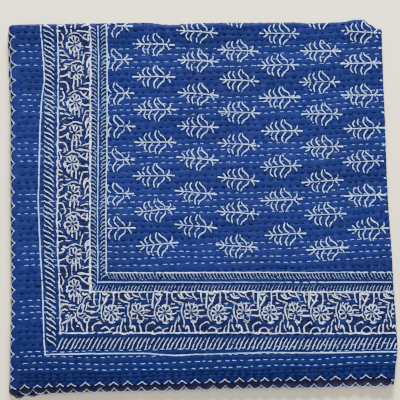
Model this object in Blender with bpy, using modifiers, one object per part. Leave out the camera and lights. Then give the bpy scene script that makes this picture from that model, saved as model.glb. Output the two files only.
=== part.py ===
"""A hand-quilted kantha throw, folded in half twice and lying flat.

The throw is one sheet of cloth. A point of it is named by two lengths measured over the
cloth: `s` runs across, from the left hem of the top layer round the right fold and back,
and `t` runs up, from the lower hem of the top layer over the top fold and back down.
`place` folds the sheet into its four layers, and Solidify gives it its thickness.

Layer 1 is on top. Layer 2 hangs from it by the right fold, layers 3 and 4 lie below and
hang from 2 and 1 by the top fold. Units are metres, +Z is up, and the origin is at the
middle of the footprint, on the surface that the throw lies on.
"""

import math
from collections import namedtuple

import bmesh
import bpy
from mathutils import Vector
from mathutils.geometry import delaunay_2d_cdt

# Cloth
THICK = 0.0020            # two cotton layers, quilted together
SIDE_BEND = 0.0016        # centre-line radius of the first fold, at the right
TOP_BEND = 0.0036         # radius of the second fold, at the middle of the folded pair
WIDTH = 0.5640            # top layer, left hem to right fold
LENGTH = 0.5440           # top layer, lower hem to top fold

# Quilting: rows of running stitch that run straight across the throw. Seven rows fill the
# hem, and above it they come in groups of eight. `row` counts them from the lower hem.
RowAt = namedtuple("RowAt", "row height")
ROWS = (RowAt(0, 0.0112), RowAt(2, 0.0218), RowAt(6, 0.0560), RowAt(14, 0.1285),
        RowAt(22, 0.2050), RowAt(30, 0.2825), RowAt(38, 0.3605), RowAt(46, 0.4360),
        RowAt(55, 0.5215))
FURROW = 0.0007           # height of the soft ridge between two rows
COLUMNS = 11              # points along each ridge and furrow
QUILT_MARGIN = 0.0130     # cloth left smooth inside a hem

# Scalloped hems: the edging thread draws the edge in at every stitch. Notches are counted
# from the lower left corner, over the folds, and lie unevenly as sewn by hand.
Notch = namedtuple("Notch", "number at")
LOWER_NOTCHES = (Notch(0, 0.002), Notch(2, 0.040), Notch(5, 0.089), Notch(10, 0.193),
                 Notch(14, 0.271), Notch(17, 0.336), Notch(21, 0.410), Notch(25, 0.499),
                 Notch(28, 0.566), Notch(32, 0.640), Notch(36, 0.725), Notch(42, 0.830),
                 Notch(46, 0.916), Notch(51, 1.016), Notch(57, 1.135))
UPPER_NOTCHES = (Notch(0, 0.003), Notch(57, 1.126))
LEFT_NOTCHES = (Notch(0, 0.002), Notch(2, 0.030), Notch(4, 0.072), Notch(7, 0.127),
                Notch(10, 0.177), Notch(14, 0.248), Notch(16, 0.288), Notch(19, 0.353),
                Notch(22, 0.412), Notch(25, 0.482), Notch(27, 0.526), Notch(55, 1.088))
RIGHT_SHIFT = 0.5         # the lower layers' scallops lie between those of the top layer
NOTCH_ACROSS = 0.0060     # depth of the notches in the lower hems
NOTCH_UP = 0.0045         # and in the left hems
ARM_ACROSS = 0.0095       # how far a notch reaches along the hem, to either side
ARM_UP = 0.0055
POINTS_PER_SCALLOP = 3
HEM_INSET = 0.0095        # line of points that backs each scalloped edge

# Spacing of points where the cloth is plain
PLAIN_STEP = 0.0600
FOLD_STEP = 0.0240        # along the folds of the top layer
BEND_STEPS = 6            # segments round half a turn

# Where the edges of the top layer lie on the surface. `at` is the distance from the lower
# hem or from the left hem, `edge` the coordinate of the edge there.
Edge = namedtuple("Edge", "at edge")
LEFT_EDGE = (Edge(0.000, -0.2755), Edge(0.126, -0.2745), Edge(0.274, -0.2765),
             Edge(0.400, -0.2778), Edge(0.480, -0.2790), Edge(0.544, -0.2815))
RIGHT_EDGE = (Edge(0.000, 0.2815), Edge(0.045, 0.2868), Edge(0.160, 0.2850),
              Edge(0.274, 0.2828), Edge(0.430, 0.2840), Edge(0.544, 0.2848))
LOWER_EDGE = (Edge(0.000, -0.2683), Edge(0.035, -0.2663), Edge(0.140, -0.2643),
              Edge(0.420, -0.2623), Edge(0.564, -0.2603))
TOP_EDGE = (Edge(0.000, 0.2797), Edge(0.150, 0.2795), Edge(0.205, 0.2792),
            Edge(0.245, 0.2752), Edge(0.290, 0.2771), Edge(0.430, 0.2759),
            Edge(0.455, 0.2739), Edge(0.505, 0.2749), Edge(0.524, 0.2782),
            Edge(0.538, 0.2780), Edge(0.547, 0.2697), Edge(0.558, 0.2622))
TOP_CALM = 0.2767         # top edge as the middle of the throw feels it
EDGE_BAND = 0.070         # the waviness of the top edge has faded out this far inside it

# How far each hem reaches past the hem of the top layer, along the pile's side
Reach = namedtuple("Reach", "at out")
LOWER_HEM_2 = (Reach(0.000, 0.0080), Reach(0.140, 0.0096), Reach(0.300, 0.0100),
               Reach(0.480, 0.0112), Reach(0.564, 0.0130))
LOWER_HEM_3 = (Reach(0.000, 0.0040), Reach(0.280, 0.0070), Reach(0.564, 0.0090))
LOWER_HEM_4 = (Reach(0.000, 0.0090), Reach(0.016, 0.0130), Reach(0.034, 0.0120),
               Reach(0.060, 0.0085), Reach(0.300, 0.0090), Reach(0.564, 0.0110))
LEFT_HEM_2 = (Reach(0.000, 0.0010), Reach(0.120, 0.0018), Reach(0.300, 0.0022),
              Reach(0.470, 0.0030), Reach(0.544, 0.0040))
LEFT_HEM_3 = (Reach(0.000, -0.0030), Reach(0.270, 0.0000), Reach(0.544, 0.0015))
LEFT_HEM_4 = (Reach(0.000, 0.0035), Reach(0.060, -0.0010), Reach(0.300, 0.0010),
              Reach(0.505, 0.0060), Reach(0.544, 0.0050))

# The pile is loftier along its folds and sinks towards its hems
FOLD_LOFT = 0.0022
FOLD_LOFT_BAND = 0.050
CORNER_LOFT = 0.0020
HEM_SINK = 0.0008
HEM_SINK_BAND = 0.028
SWELL = 0.0005            # long, low unevenness of the whole pile

BLUE = (0.011, 0.048, 0.278, 1.0)

# Lengths over the cloth that follow from the sizes above
SIDE_START = WIDTH - SIDE_BEND - THICK / 2
SIDE_END = SIDE_START + math.pi * SIDE_BEND
TOP_START = LENGTH - TOP_BEND - SIDE_BEND - THICK / 2
TOP_END = TOP_START + math.pi * TOP_BEND
PILE_MIDDLE = TOP_BEND + SIDE_BEND + THICK / 2
BOTTOM_LAYER = THICK / 2
TOP_LAYER = 2 * PILE_MIDDLE - THICK / 2
SIDE_BENDS = tuple(SIDE_START + (SIDE_END - SIDE_START) * k / BEND_STEPS
                   for k in range(BEND_STEPS + 1))
TOP_BENDS = tuple(TOP_START + (TOP_END - TOP_START) * k / BEND_STEPS
                  for k in range(BEND_STEPS + 1))

# The four edges of the sheet: length, notches, the way into the cloth, and its fold
Hem = namedtuple("Hem", "length notches shift depth arm inward bends")
HEMS = {
    "lower": Hem(SIDE_END + SIDE_START, LOWER_NOTCHES, 0, NOTCH_ACROSS, ARM_ACROSS, (0, 1),
                 SIDE_BENDS),
    "right": Hem(TOP_END + TOP_START, LEFT_NOTCHES, RIGHT_SHIFT, NOTCH_UP, ARM_UP, (-1, 0),
                 TOP_BENDS),
    "upper": Hem(SIDE_END + SIDE_START, UPPER_NOTCHES, 0, NOTCH_ACROSS, ARM_ACROSS, (0, -1),
                 SIDE_BENDS),
    "left": Hem(TOP_END + TOP_START, LEFT_NOTCHES, 0, NOTCH_UP, ARM_UP, (1, 0), TOP_BENDS),
}
CORNER_CALM = 0.012       # the left hems have no notches this near a corner


def ease(value):
    """Smooth step from 0 to 1."""
    value = min(max(value, 0.0), 1.0)
    return value * value * (3.0 - 2.0 * value)


def along(table, at):
    """Value of a two-column table, eased from row to row."""
    if at <= table[0][0]:
        return table[0][1]
    for (start, first), (end, second) in zip(table, table[1:]):
        if at <= end:
            return first + (second - first) * ease((at - start) / (end - start))
    return table[-1][1]


def between(table, at):
    """Value of a two-column table, straight from row to row and on beyond its ends."""
    for (start, first), (end, second) in zip(table, table[1:]):
        if at <= end:
            break
    return first + (second - first) * (at - start) / (end - start)


def fold_sideways(s):
    """First fold: distance from the left hem, and height in the folded pair."""
    turn = (s - SIDE_START) / SIDE_BEND
    if turn <= 0:
        return s, SIDE_BEND
    if turn < math.pi:
        return SIDE_START + SIDE_BEND * math.sin(turn), SIDE_BEND * math.cos(turn)
    return SIDE_START - (s - SIDE_END), -SIDE_BEND


def fold_over(t, height):
    """Second fold: distance from the lower hem, and height in the pile."""
    turn = (t - TOP_START) / TOP_BEND
    radius = TOP_BEND + height
    if turn <= 0:
        return t, PILE_MIDDLE + radius
    if turn < math.pi:
        return TOP_START + radius * math.sin(turn), PILE_MIDDLE + radius * math.cos(turn)
    return TOP_START - (t - TOP_END), PILE_MIDDLE - radius


def on_surface(across, up):
    """Lays the square pile out with the uneven edges of the real one."""
    left, right = along(LEFT_EDGE, up), along(RIGHT_EDGE, up)
    low, top = along(LOWER_EDGE, across), along(TOP_EDGE, across)
    uneven = ease((EDGE_BAND - LENGTH + up) / (EDGE_BAND - 2 * PILE_MIDDLE))
    calm = TOP_CALM + (top - TOP_CALM) * uneven
    return left + (right - left) * across / WIDTH, low + (calm - low) * up / LENGTH


def loft(across, up):
    """Extra height of the top layer over a pile of even layers."""
    to_right, to_top = WIDTH - across, LENGTH - up
    right = ease(1 - to_right / FOLD_LOFT_BAND)
    top = ease(1 - to_top / FOLD_LOFT_BAND)
    height = FOLD_LOFT * max(right, top) + CORNER_LOFT * right * top
    hem = min(across, up + 0.004)
    height -= HEM_SINK * ease(1 - hem / HEM_SINK_BAND)
    waves = math.sin(across * 19.0 + 1.3) * math.sin(up * 23.0 + 0.4)
    return height + SWELL * (waves + 0.6 * math.sin(up * 41.0 - across * 13.0))


def row_height(row, s):
    """Height of a stitch row over the lower hem: rows wander by a thread or two."""
    wander = 0.0007 * math.sin(s * 9.0 + row * 1.7) + 0.0005 * math.sin(s * 23.0 + row * 0.9)
    for (first, low), (last, high) in zip(ROWS, ROWS[1:]):
        if row <= last:
            return low + (high - low) * (row - first) / (last - first) + wander


def place(s, t, ridge=0.0):
    """Where a point of the cloth's middle lies, with its ridge or furrow height."""
    across, height = fold_sideways(s)
    up, z = fold_over(t, height + ridge)
    x, y = on_surface(across, up)
    share = ease((z - BOTTOM_LAYER) / (TOP_LAYER - BOTTOM_LAYER))
    return Vector((x, y, z + share * loft(across, up)))


def hem_line(side, at):
    """The edge of the cloth, without its scallops, as a point (s, t)."""
    if side == "lower":
        over = fold_sideways(at)[0]
        blend = ease((at - SIDE_START + 0.012) / (SIDE_END - SIDE_START + 0.024))
        return at, -blend * along(LOWER_HEM_2, over)
    if side == "upper":
        over = fold_sideways(at)[0]
        blend = ease((at - SIDE_START + 0.012) / (SIDE_END - SIDE_START + 0.024))
        out = (1 - blend) * along(LOWER_HEM_4, over) + blend * along(LOWER_HEM_3, over)
        return at, TOP_END + TOP_START + out
    over = at if at < TOP_START else max(0.0, TOP_START - (at - TOP_END))
    blend = ease((at - TOP_START + 0.012) / (TOP_END - TOP_START + 0.024))
    if side == "left":
        return -blend * along(LEFT_HEM_4, over), at
    out = (1 - blend) * along(LEFT_HEM_2, over) + blend * along(LEFT_HEM_3, over)
    return SIDE_END + SIDE_START + out, at


def notch_place(side, number):
    """Distance along a hem of one of its notches, or of a place between two."""
    return between(HEMS[side].notches, number - HEMS[side].shift)


def notch_number(side, at):
    """The notch that a place on a hem is at, with a fraction."""
    return between([(at, number) for number, at in HEMS[side].notches], at) + HEMS[side].shift


def notch_depth(side, at):
    """How far the edging thread draws the hem in."""
    hem = HEMS[side]
    nearest = round(notch_number(side, at))
    away = min(1, abs(at - notch_place(side, nearest)) / hem.arm)
    depth = hem.depth * (1 - math.sin(math.pi / 2 * away)) * (0.85 + 0.15 * math.sin(2.3 * nearest))
    if side in ("left", "right"):
        depth *= ease(min(at, hem.length - at) / CORNER_CALM)
    return depth


def hem_point(side, at):
    """The scalloped edge of the cloth as a point (s, t)."""
    s, t = hem_line(side, at)
    depth = notch_depth(side, at)
    return s + HEMS[side].inward[0] * depth, t + HEMS[side].inward[1] * depth


def hem_stations(side):
    """Distances along a hem that get a point: scallops, and the bends of its fold."""
    hem = HEMS[side]
    last = int(notch_number(side, hem.length) * POINTS_PER_SCALLOP)
    places = [notch_place(side, k / POINTS_PER_SCALLOP) for k in range(last + 1)]
    stations = [at for at in places if THICK < at < hem.length - THICK
                and not hem.bends[0] - THICK < at < hem.bends[-1] + THICK]
    return sorted(stations + list(hem.bends))


def outline():
    """The closed scalloped edge of the sheet, counter-clockwise."""
    edge = []
    for side in ("lower", "right", "upper", "left"):
        stations = hem_stations(side)
        if side in ("lower", "upper"):
            stations = [0.0] + stations + [HEMS[side].length]
        if side in ("upper", "left"):
            stations.reverse()
        edge += [hem_point(side, at) for at in stations]
    return edge


def backing_points():
    """Loose points that back each scalloped edge, one to a scallop."""
    points = []
    for side, hem in HEMS.items():
        for number in range(1, int(notch_number(side, hem.length))):
            at = notch_place(side, number)
            if hem.bends[0] - HEM_INSET < at < hem.bends[-1] + HEM_INSET:
                continue
            s, t = hem_line(side, at)
            points.append((s + hem.inward[0] * HEM_INSET, t + hem.inward[1] * HEM_INSET))
    return points


def quilted_rows():
    """Ridge and furrow lines of the top layer: lists of (s, t, ridge height)."""
    first, last = QUILT_MARGIN, SIDE_START - QUILT_MARGIN
    rows = []
    for half in range(2 * ROWS[-1].row + 1):
        row = half / 2
        line = []
        for column in range(COLUMNS):
            s = first + (last - first) * column / (COLUMNS - 1)
            raised = half % 2
            swing = 0.8 + 0.2 * math.sin(row * 2.1 + s * 31.0)
            fade = min(ease(column), ease(COLUMNS - 1 - column))
            line.append((s, row_height(row, s), (raised - 0.5) * FURROW * swing * fade))
        rows.append(line)
    return rows


def spread(start, end, step):
    """Evenly spaced values from start to end, about a step apart."""
    count = max(1, round((end - start) / step))
    return [start + (end - start) * k / count for k in range(count + 1)]


def bend_lines():
    """Lines round which the cloth turns, each from one hem to the other."""
    inset = HEM_INSET * 1.5
    across = spread(inset, SIDE_START - QUILT_MARGIN, PLAIN_STEP) + list(SIDE_BENDS)
    across += spread(SIDE_END + QUILT_MARGIN, SIDE_END + SIDE_START - inset, PLAIN_STEP)
    up = spread(inset, TOP_START - QUILT_MARGIN, FOLD_STEP) + list(TOP_BENDS)
    up += spread(TOP_END + QUILT_MARGIN, TOP_END + TOP_START - inset, PLAIN_STEP)
    lines = []
    for t in TOP_BENDS:
        middle = [(s, t) for s in across]
        lines.append([hem_point("left", t)] + middle + [hem_point("right", t)])
    for s in SIDE_BENDS:
        middle = [(s, t) for t in up]
        lines.append([hem_point("lower", s)] + middle + [hem_point("upper", s)])
    return lines


def plain_points():
    """Loose points of the three hidden layers."""
    inset = HEM_INSET * 2.6
    left = spread(inset, SIDE_START - PLAIN_STEP / 2, PLAIN_STEP)
    right = spread(SIDE_END + PLAIN_STEP / 2, SIDE_END + SIDE_START - inset, PLAIN_STEP)
    low = spread(inset, TOP_START - PLAIN_STEP / 2, PLAIN_STEP)
    high = spread(TOP_END + PLAIN_STEP / 2, TOP_END + TOP_START - inset, PLAIN_STEP)
    points = [(s, t) for s in right for t in low]
    points += [(s, t) for s in left + right for t in high]
    return points


def sheet_mesh():
    """Triangulates the flat sheet through its lines and folds it into the pile."""
    edge = outline()
    points = [(s, t, 0.0) for s, t in edge]
    edges = []
    lines = quilted_rows() + [[(s, t, 0.0) for s, t in line] for line in bend_lines()]
    for line in lines:
        first = len(points)
        points += line
        edges += [(first + k, first + k + 1) for k in range(len(line) - 1)]
    points += [(s, t, 0.0) for s, t in backing_points() + plain_points()]
    flat, _, triangles, origin, _, inside = delaunay_2d_cdt(
        [Vector(point[:2]) for point in points], edges, [range(len(edge))], 1, 1e-6, True)
    faces = [triangle for triangle, within in zip(triangles, inside) if within]
    folded = []
    for point, sources in zip(flat, origin):
        ridge = points[sources[0]][2] if sources else 0.0
        folded.append(place(point.x, point.y, ridge))
    mesh = bpy.data.meshes.new("quilt")
    mesh.from_pydata(folded, [], faces)
    mesh.validate()
    return mesh


def cloth_material():
    """Block-printed indigo cotton."""
    material = bpy.data.materials.new("printed cotton")
    material.use_nodes = True
    shader = material.node_tree.nodes["Principled BSDF"]
    shader.inputs["Base Color"].default_value = BLUE
    shader.inputs["Roughness"].default_value = 0.88
    shader.inputs["Metallic"].default_value = 0.0
    return material


def clear_scene():
    for old in list(bpy.data.objects):
        bpy.data.objects.remove(old, do_unlink=True)


def main():
    clear_scene()
    collection = bpy.data.collections.new("kantha quilt")
    bpy.context.scene.collection.children.link(collection)
    quilt = bpy.data.objects.new("quilt", sheet_mesh())
    collection.objects.link(quilt)
    quilt.data.materials.append(cloth_material())
    thickness = quilt.modifiers.new("thickness", "SOLIDIFY")
    thickness.thickness = THICK
    thickness.offset = 0.0


main()
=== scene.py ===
"""Looks of a hand-quilted kantha throw of block-printed indigo cotton, folded in half twice.

Everything is drawn on the flat sheet first and folded afterwards. A point of the sheet is
named by two lengths over the cloth, `s` across and `t` up from the lower left corner of the
top layer, and by `rise`, its height over the printed side. `place` folds it into the pile
by the same steps and the same fold sizes as the CAD part. Layer 1 is on top, layer 2 hangs
from it by the right fold, and layers 3 and 4 lie below and hang from 2 and 1 by the top
fold. Lengths are metres, and the charts of the print are millimetres.
"""

import math
from collections import namedtuple

import bpy
import numpy as np
from mathutils import Matrix, Vector
from mathutils.geometry import delaunay_2d_cdt


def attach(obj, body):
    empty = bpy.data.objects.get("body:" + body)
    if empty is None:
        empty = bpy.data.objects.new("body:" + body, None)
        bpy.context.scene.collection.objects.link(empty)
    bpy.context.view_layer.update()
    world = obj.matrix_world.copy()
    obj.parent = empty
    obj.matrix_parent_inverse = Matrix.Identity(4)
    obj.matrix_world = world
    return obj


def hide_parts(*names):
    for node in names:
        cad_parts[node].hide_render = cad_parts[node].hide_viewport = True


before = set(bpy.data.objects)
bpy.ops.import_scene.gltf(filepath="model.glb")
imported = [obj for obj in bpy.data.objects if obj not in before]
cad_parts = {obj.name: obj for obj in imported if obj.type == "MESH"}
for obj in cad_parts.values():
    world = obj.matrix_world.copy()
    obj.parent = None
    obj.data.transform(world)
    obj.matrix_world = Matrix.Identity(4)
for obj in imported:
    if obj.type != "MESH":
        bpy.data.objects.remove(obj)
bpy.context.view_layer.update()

MM = 0.001


def table(columns, rows):
    """A short table: one record for each row, with its columns named."""
    record = namedtuple("record", columns)
    return [record(*row) for row in rows]


# ---------------------------------------------------------------- sizes of the CAD part
THICK = 0.0020            # two cotton layers, quilted together
SIDE_BEND = 0.0016        # centre-line radius of the first fold, at the right
TOP_BEND = 0.0036         # radius of the second fold, at the middle of the folded pair
WIDTH = 0.5640            # top layer, left hem to right fold
LENGTH = 0.5440           # top layer, lower hem to top fold
FURROW = 0.00058          # soft ridge between two rows of stitches, a little lower than the part's
TOP_CALM = 0.2767         # top edge as the middle of the throw feels it
EDGE_BAND = 0.070         # the waviness of the top edge has faded out this far inside it
FOLD_LOFT = 0.0022        # the pile is loftier along its folds
FOLD_LOFT_BAND = 0.050
CORNER_LOFT = 0.0020
HEM_SINK = 0.0008         # and sinks towards its hems
HEM_SINK_BAND = 0.028
HEM_SINK_LAG = 0.004      # the band is narrower by this much along the lower hem
LOWER_SINK = 0.0018       # more so along the lower hem, as the photo's shade shows; only here
LOWER_SINK_BAND = 0.070
SWELL = 0.0005            # long, low unevenness of the whole pile
SWELL_ACROSS = (19.0, 1.3)      # its waves, in radians a metre, and where they start
SWELL_UP = (23.0, 0.4)
SWELL_SLANT = (41.0, 13.0)      # a slanting wave, up and back across,
SWELL_SLANT_SHARE = 0.6         # and its height beside the others

# Stitch rows, counted from the lower hem: their heights near the left hem, in the middle and
# near the right fold; row -1 is the hem itself
ROWS = table("row left middle right", (
    (-1, 0.0020, 0.0015, 0.0015), (0, 0.0090, 0.0065, 0.0065), (2, 0.0212, 0.0168, 0.0175),
    (3, 0.0283, 0.0223, 0.0240), (4, 0.0363, 0.0313, 0.0328), (5, 0.0465, 0.0410, 0.0415),
    (6, 0.0535, 0.0500, 0.0505), (11, 0.1004, 0.0958, 0.0970), (14, 0.1270, 0.1240, 0.1255),
    (19, 0.1777, 0.1742, 0.1765), (22, 0.2058, 0.2028, 0.2050), (27, 0.2542, 0.2500, 0.2540),
    (30, 0.2830, 0.2780, 0.2825), (35, 0.3338, 0.3252, 0.3296), (38, 0.3610, 0.3537, 0.3580),
    (43, 0.4103, 0.4005, 0.4055), (46, 0.4365, 0.4262, 0.4315), (51, 0.4826, 0.4738, 0.4775),
    (54, 0.5134, 0.5035, 0.5080), (60, 0.5700, 0.5605, 0.5650),
))
ROW_NUMBERS, ROWS_LEFT, ROWS_MIDDLE, ROWS_RIGHT = zip(*ROWS)
ROWS_SETTLE = (0.015, 0.155)    # from the left hem, where the rows change to their middle height
ROWS_LIFT = (0.420, 0.545)      # and where they rise again towards the right fold
# Each row wanders by a thread or two: height, radians a metre and turn from row to row
ROW_WAVES = table("height rate turn", ((0.0007, 23.0, 1.7), (0.0004, 61.0, 0.9)))

# Edges of the top layer on the surface, at each distance from the lower or the left hem
LEFT_EDGE = table("at edge", (
    (0.000, -0.2755), (0.126, -0.2745), (0.274, -0.2765), (0.400, -0.2778), (0.480, -0.2790),
    (0.544, -0.2815),
))
RIGHT_EDGE = table("at edge", (
    (0.000, 0.2815), (0.045, 0.2868), (0.160, 0.2850), (0.274, 0.2828), (0.430, 0.2840),
    (0.544, 0.2848),
))
LOWER_EDGE = table("at edge", (
    (0.000, -0.2683), (0.035, -0.2663), (0.140, -0.2643), (0.420, -0.2623), (0.564, -0.2603),
))
TOP_EDGE = table("at edge", (
    (0.000, 0.2797), (0.150, 0.2795), (0.205, 0.2792), (0.245, 0.2752), (0.290, 0.2771),
    (0.430, 0.2759), (0.455, 0.2739), (0.505, 0.2749), (0.524, 0.2782), (0.538, 0.2780),
    (0.547, 0.2697), (0.558, 0.2622),
))

# How far each hem reaches past the hem of the top layer
NO_REACH = table("at out", ((0.000, 0.0), (1.000, 0.0)))
LOWER_HEM_2 = table("at out", (
    (0.000, 0.0080), (0.140, 0.0096), (0.300, 0.0100), (0.480, 0.0112), (0.564, 0.0130),
))
LOWER_HEM_3 = table("at out", ((0.000, 0.0040), (0.280, 0.0070), (0.564, 0.0090)))
LOWER_HEM_4 = table("at out", (
    (0.000, 0.0090), (0.016, 0.0130), (0.034, 0.0120), (0.060, 0.0085), (0.300, 0.0090),
    (0.564, 0.0110),
))
LEFT_HEM_2 = table("at out", (
    (0.000, 0.0010), (0.120, 0.0018), (0.300, 0.0022), (0.470, 0.0030), (0.544, 0.0040),
))
LEFT_HEM_3 = table("at out", ((0.000, -0.0030), (0.270, 0.0000), (0.544, 0.0015)))
LEFT_HEM_4 = table("at out", (
    (0.000, 0.0035), (0.060, -0.0010), (0.300, 0.0010), (0.505, 0.0060), (0.544, 0.0050),
))

# Notches of the hems, counted from the lower left corner and on over the folds
LOWER_NOTCHES = table("number at", (
    (0, 0.002), (2, 0.040), (5, 0.089), (10, 0.193), (14, 0.271), (17, 0.336), (21, 0.410), (25, 0.499),
    (28, 0.566), (32, 0.640), (36, 0.725), (42, 0.830), (46, 0.916), (51, 1.016), (57, 1.135),
))
UPPER_NOTCHES = table("number at", ((0, 0.003), (57, 1.126)))
LEFT_NOTCHES = table("number at", (
    (0, 0.002), (2, 0.030), (4, 0.072), (7, 0.127), (10, 0.177), (14, 0.248), (16, 0.288), (19, 0.353),
    (22, 0.412), (25, 0.482), (27, 0.526), (55, 1.088),
))
RIGHT_SHIFT = 0.5         # the lower layers' scallops lie between those of the top layer
NOTCH_ACROSS = 0.0050     # depth of the notches in the lower hems, a little less than the part's
NOTCH_UP = 0.0040         # and in the left hems
NOTCH_MEAN = 0.85         # notches differ in depth: their mean
NOTCH_SWING = 0.15        # and swing, as shares,
NOTCH_TURN = 2.3          # and radians from one notch to the next
ARM_ACROSS = 0.0095       # how far a notch reaches along the hem, to either side
ARM_UP = 0.0055
CORNER_CALM = 0.012       # the left hems have no notches this near a corner

SIDE_START = WIDTH - SIDE_BEND - THICK / 2
SIDE_END = SIDE_START + math.pi * SIDE_BEND
TOP_START = LENGTH - TOP_BEND - SIDE_BEND - THICK / 2
TOP_END = TOP_START + math.pi * TOP_BEND
SHEET_WIDTH = SIDE_END + SIDE_START
SHEET_LENGTH = TOP_END + TOP_START
PILE_MIDDLE = TOP_BEND + SIDE_BEND + THICK / 2
BOTTOM_LAYER = THICK / 2
TOP_LAYER = 2 * PILE_MIDDLE - THICK / 2

# The four hems: length, notches, and the reaches that each has before and after its fold
Hem = namedtuple("Hem", "length notches shift depth arm fold near far")
SIDE_FOLD = (SIDE_START, SIDE_END, SIDE_BEND)
TOP_FOLD = (TOP_START, TOP_END, TOP_BEND)
HEMS = {
    "lower": Hem(SHEET_WIDTH, LOWER_NOTCHES, 0, NOTCH_ACROSS, ARM_ACROSS, SIDE_FOLD,
                 NO_REACH, LOWER_HEM_2),
    "upper": Hem(SHEET_WIDTH, UPPER_NOTCHES, 0, NOTCH_ACROSS, ARM_ACROSS, SIDE_FOLD,
                 LOWER_HEM_4, LOWER_HEM_3),
    "left": Hem(SHEET_LENGTH, LEFT_NOTCHES, 0, NOTCH_UP, ARM_UP, TOP_FOLD,
                NO_REACH, LEFT_HEM_4),
    "right": Hem(SHEET_LENGTH, LEFT_NOTCHES, RIGHT_SHIFT, NOTCH_UP, ARM_UP, TOP_FOLD,
                 LEFT_HEM_2, LEFT_HEM_3),
}
FOLD_EASE = 0.012         # a hem changes from one reach to the other this far round a fold
SLIDE_END = TOP_END + 0.30      # the unevenness of the top fold has left the cloth here

# ---------------------------------------------------------------- sizes of the fine surface
SLIDE_TRIES = 8           # rounds that settle where a place near the top fold comes to lie,
ROW_TRIES = 6             # and which stitch row a place is at
UNDER_LIFT = 0.0012       # room for the threads under the lowest layer
CLOTH_STEP = 0.0026       # spacing of points across the top layer
LINES_PER_ROW = 5         # and of lines from one stitch row to the next
BEND_STEPS = 12           # segments round half a turn
BENDS_S = np.linspace(SIDE_START, SIDE_END, BEND_STEPS + 1)
BENDS_T = np.linspace(TOP_START, TOP_END, BEND_STEPS + 1)
FINE_MARGIN = 0.012       # the fine surface goes this far round the folds
COARSE_STEP = 0.024       # spacing where the cloth is hidden
HEM_LINES = (0.0026, 0.0060, 0.0110)    # lines of points this far inside the hems
HEM_CLEAR = HEM_LINES[0] * 0.9          # the fine rows keep this far from the lower hem
FOLD_CLEAR = 0.0008       # and from the top fold
REACH_BLEND = 0.040       # a hem's reach fades out this far inside it
SCALLOP_BLEND = 0.011     # and its scallops this far
CORNER_ROUND = 0.0015     # the corners are drawn in by this much
CORNER_BLEND = 0.012      # over this length
EDGE_THIN = 0.60          # share of the cloth's thickness at its very edge
EDGE_BULGE = 0.0006       # and how far that edge is rounded out
RIDGE_SHAPE = 0.75        # the ridges are fuller than a sine
RIDGE_MEAN = 0.8          # they differ in height: their mean
RIDGE_SWING = 0.2         # and swing,
RIDGE_WAVES = (2.1, 31.0)       # in radians a row and a metre
RIPPLE = 0.00013          # height of the puckers that the stitches draw along each ridge
# They are a long wave and a short slanting one, both turned from row to row
RIPPLES = table("share length turn slant", ((1.0, 0.0125, 2.4, 0.0), (0.6, 0.0083, -1.7, 90.0)))
RELIEF_LOWER = (0.003, 0.008)   # the relief starts this far inside the lower hem, over a band
RELIEF_LEFT = (0.006, 0.012)    # and inside the left hem

# Soft creases of the top layer: a ridge or trough along a line of the sheet
CREASE_FADE = 0.05        # from each end of the line
CREASES = table("s0 t0 s1 t1 width height", (
    (0.020, 0.300, 0.200, 0.292, 0.010, 0.0004), (0.290, 0.540, 0.282, 0.330, 0.009, -0.0004),
    (0.470, 0.545, 0.545, 0.470, 0.008, -0.0007), (0.500, 0.545, 0.560, 0.500, 0.007, 0.0007),
    (0.300, 0.110, 0.540, 0.060, 0.013, 0.0004), (0.040, 0.120, 0.150, 0.020, 0.012, -0.0004),
    (0.380, 0.330, 0.560, 0.300, 0.014, 0.0004),
))


def ease(value):
    """Smooth step from 0 to 1."""
    value = np.clip(value, 0.0, 1.0)
    return value * value * (3.0 - 2.0 * value)


def climb(at, start, end):
    """Smooth step from 0 at one place to 1 at another."""
    return ease((at - start) / (end - start))


def along(rows, at):
    """Value of a two-column table, eased from row to row."""
    stops, values = np.array(rows, float).T
    low = np.clip(np.searchsorted(stops, at) - 1, 0, len(stops) - 2)
    share = climb(at, stops[low], stops[low + 1])
    return values[low] + (values[low + 1] - values[low]) * share


def fold(at, height, start, end, bend):
    """Half a turn round a fold: distance from the hem, and height over the fold's centre."""
    turn = np.clip((at - start) / bend, 0.0, math.pi)
    radius = bend + height
    flat = np.where(at < start, at, start - np.maximum(0.0, at - end))
    return flat + radius * np.sin(turn), radius * np.cos(turn)


def near_fold(up):
    """How much a place feels the unevenness of the top fold."""
    return ease((EDGE_BAND - LENGTH + up) / (EDGE_BAND - 2 * PILE_MIDDLE))


def on_surface(across, up):
    """Lays the square pile out with the uneven edges of the real one."""
    left, right = along(LEFT_EDGE, up), along(RIGHT_EDGE, up)
    low, top = along(LOWER_EDGE, across), along(TOP_EDGE, across)
    calm = TOP_CALM + (top - TOP_CALM) * near_fold(up)
    return left + (right - left) * across / WIDTH, low + (calm - low) * up / LENGTH


def loft(across, up):
    """Extra height of the top layer over a pile of even layers."""
    right = ease(1 - (WIDTH - across) / FOLD_LOFT_BAND)
    top = ease(1 - (LENGTH - up) / FOLD_LOFT_BAND)
    height = FOLD_LOFT * np.maximum(right, top) + CORNER_LOFT * right * top
    height -= HEM_SINK * ease(1 - np.minimum(across, up + HEM_SINK_LAG) / HEM_SINK_BAND)
    height -= LOWER_SINK * ease(1 - up / LOWER_SINK_BAND)
    waves = np.sin(across * SWELL_ACROSS[0] + SWELL_ACROSS[1]) * np.sin(up * SWELL_UP[0] + SWELL_UP[1])
    slant = np.sin(up * SWELL_SLANT[0] - across * SWELL_SLANT[1])
    return height + SWELL * (waves + SWELL_SLANT_SHARE * slant)


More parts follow.
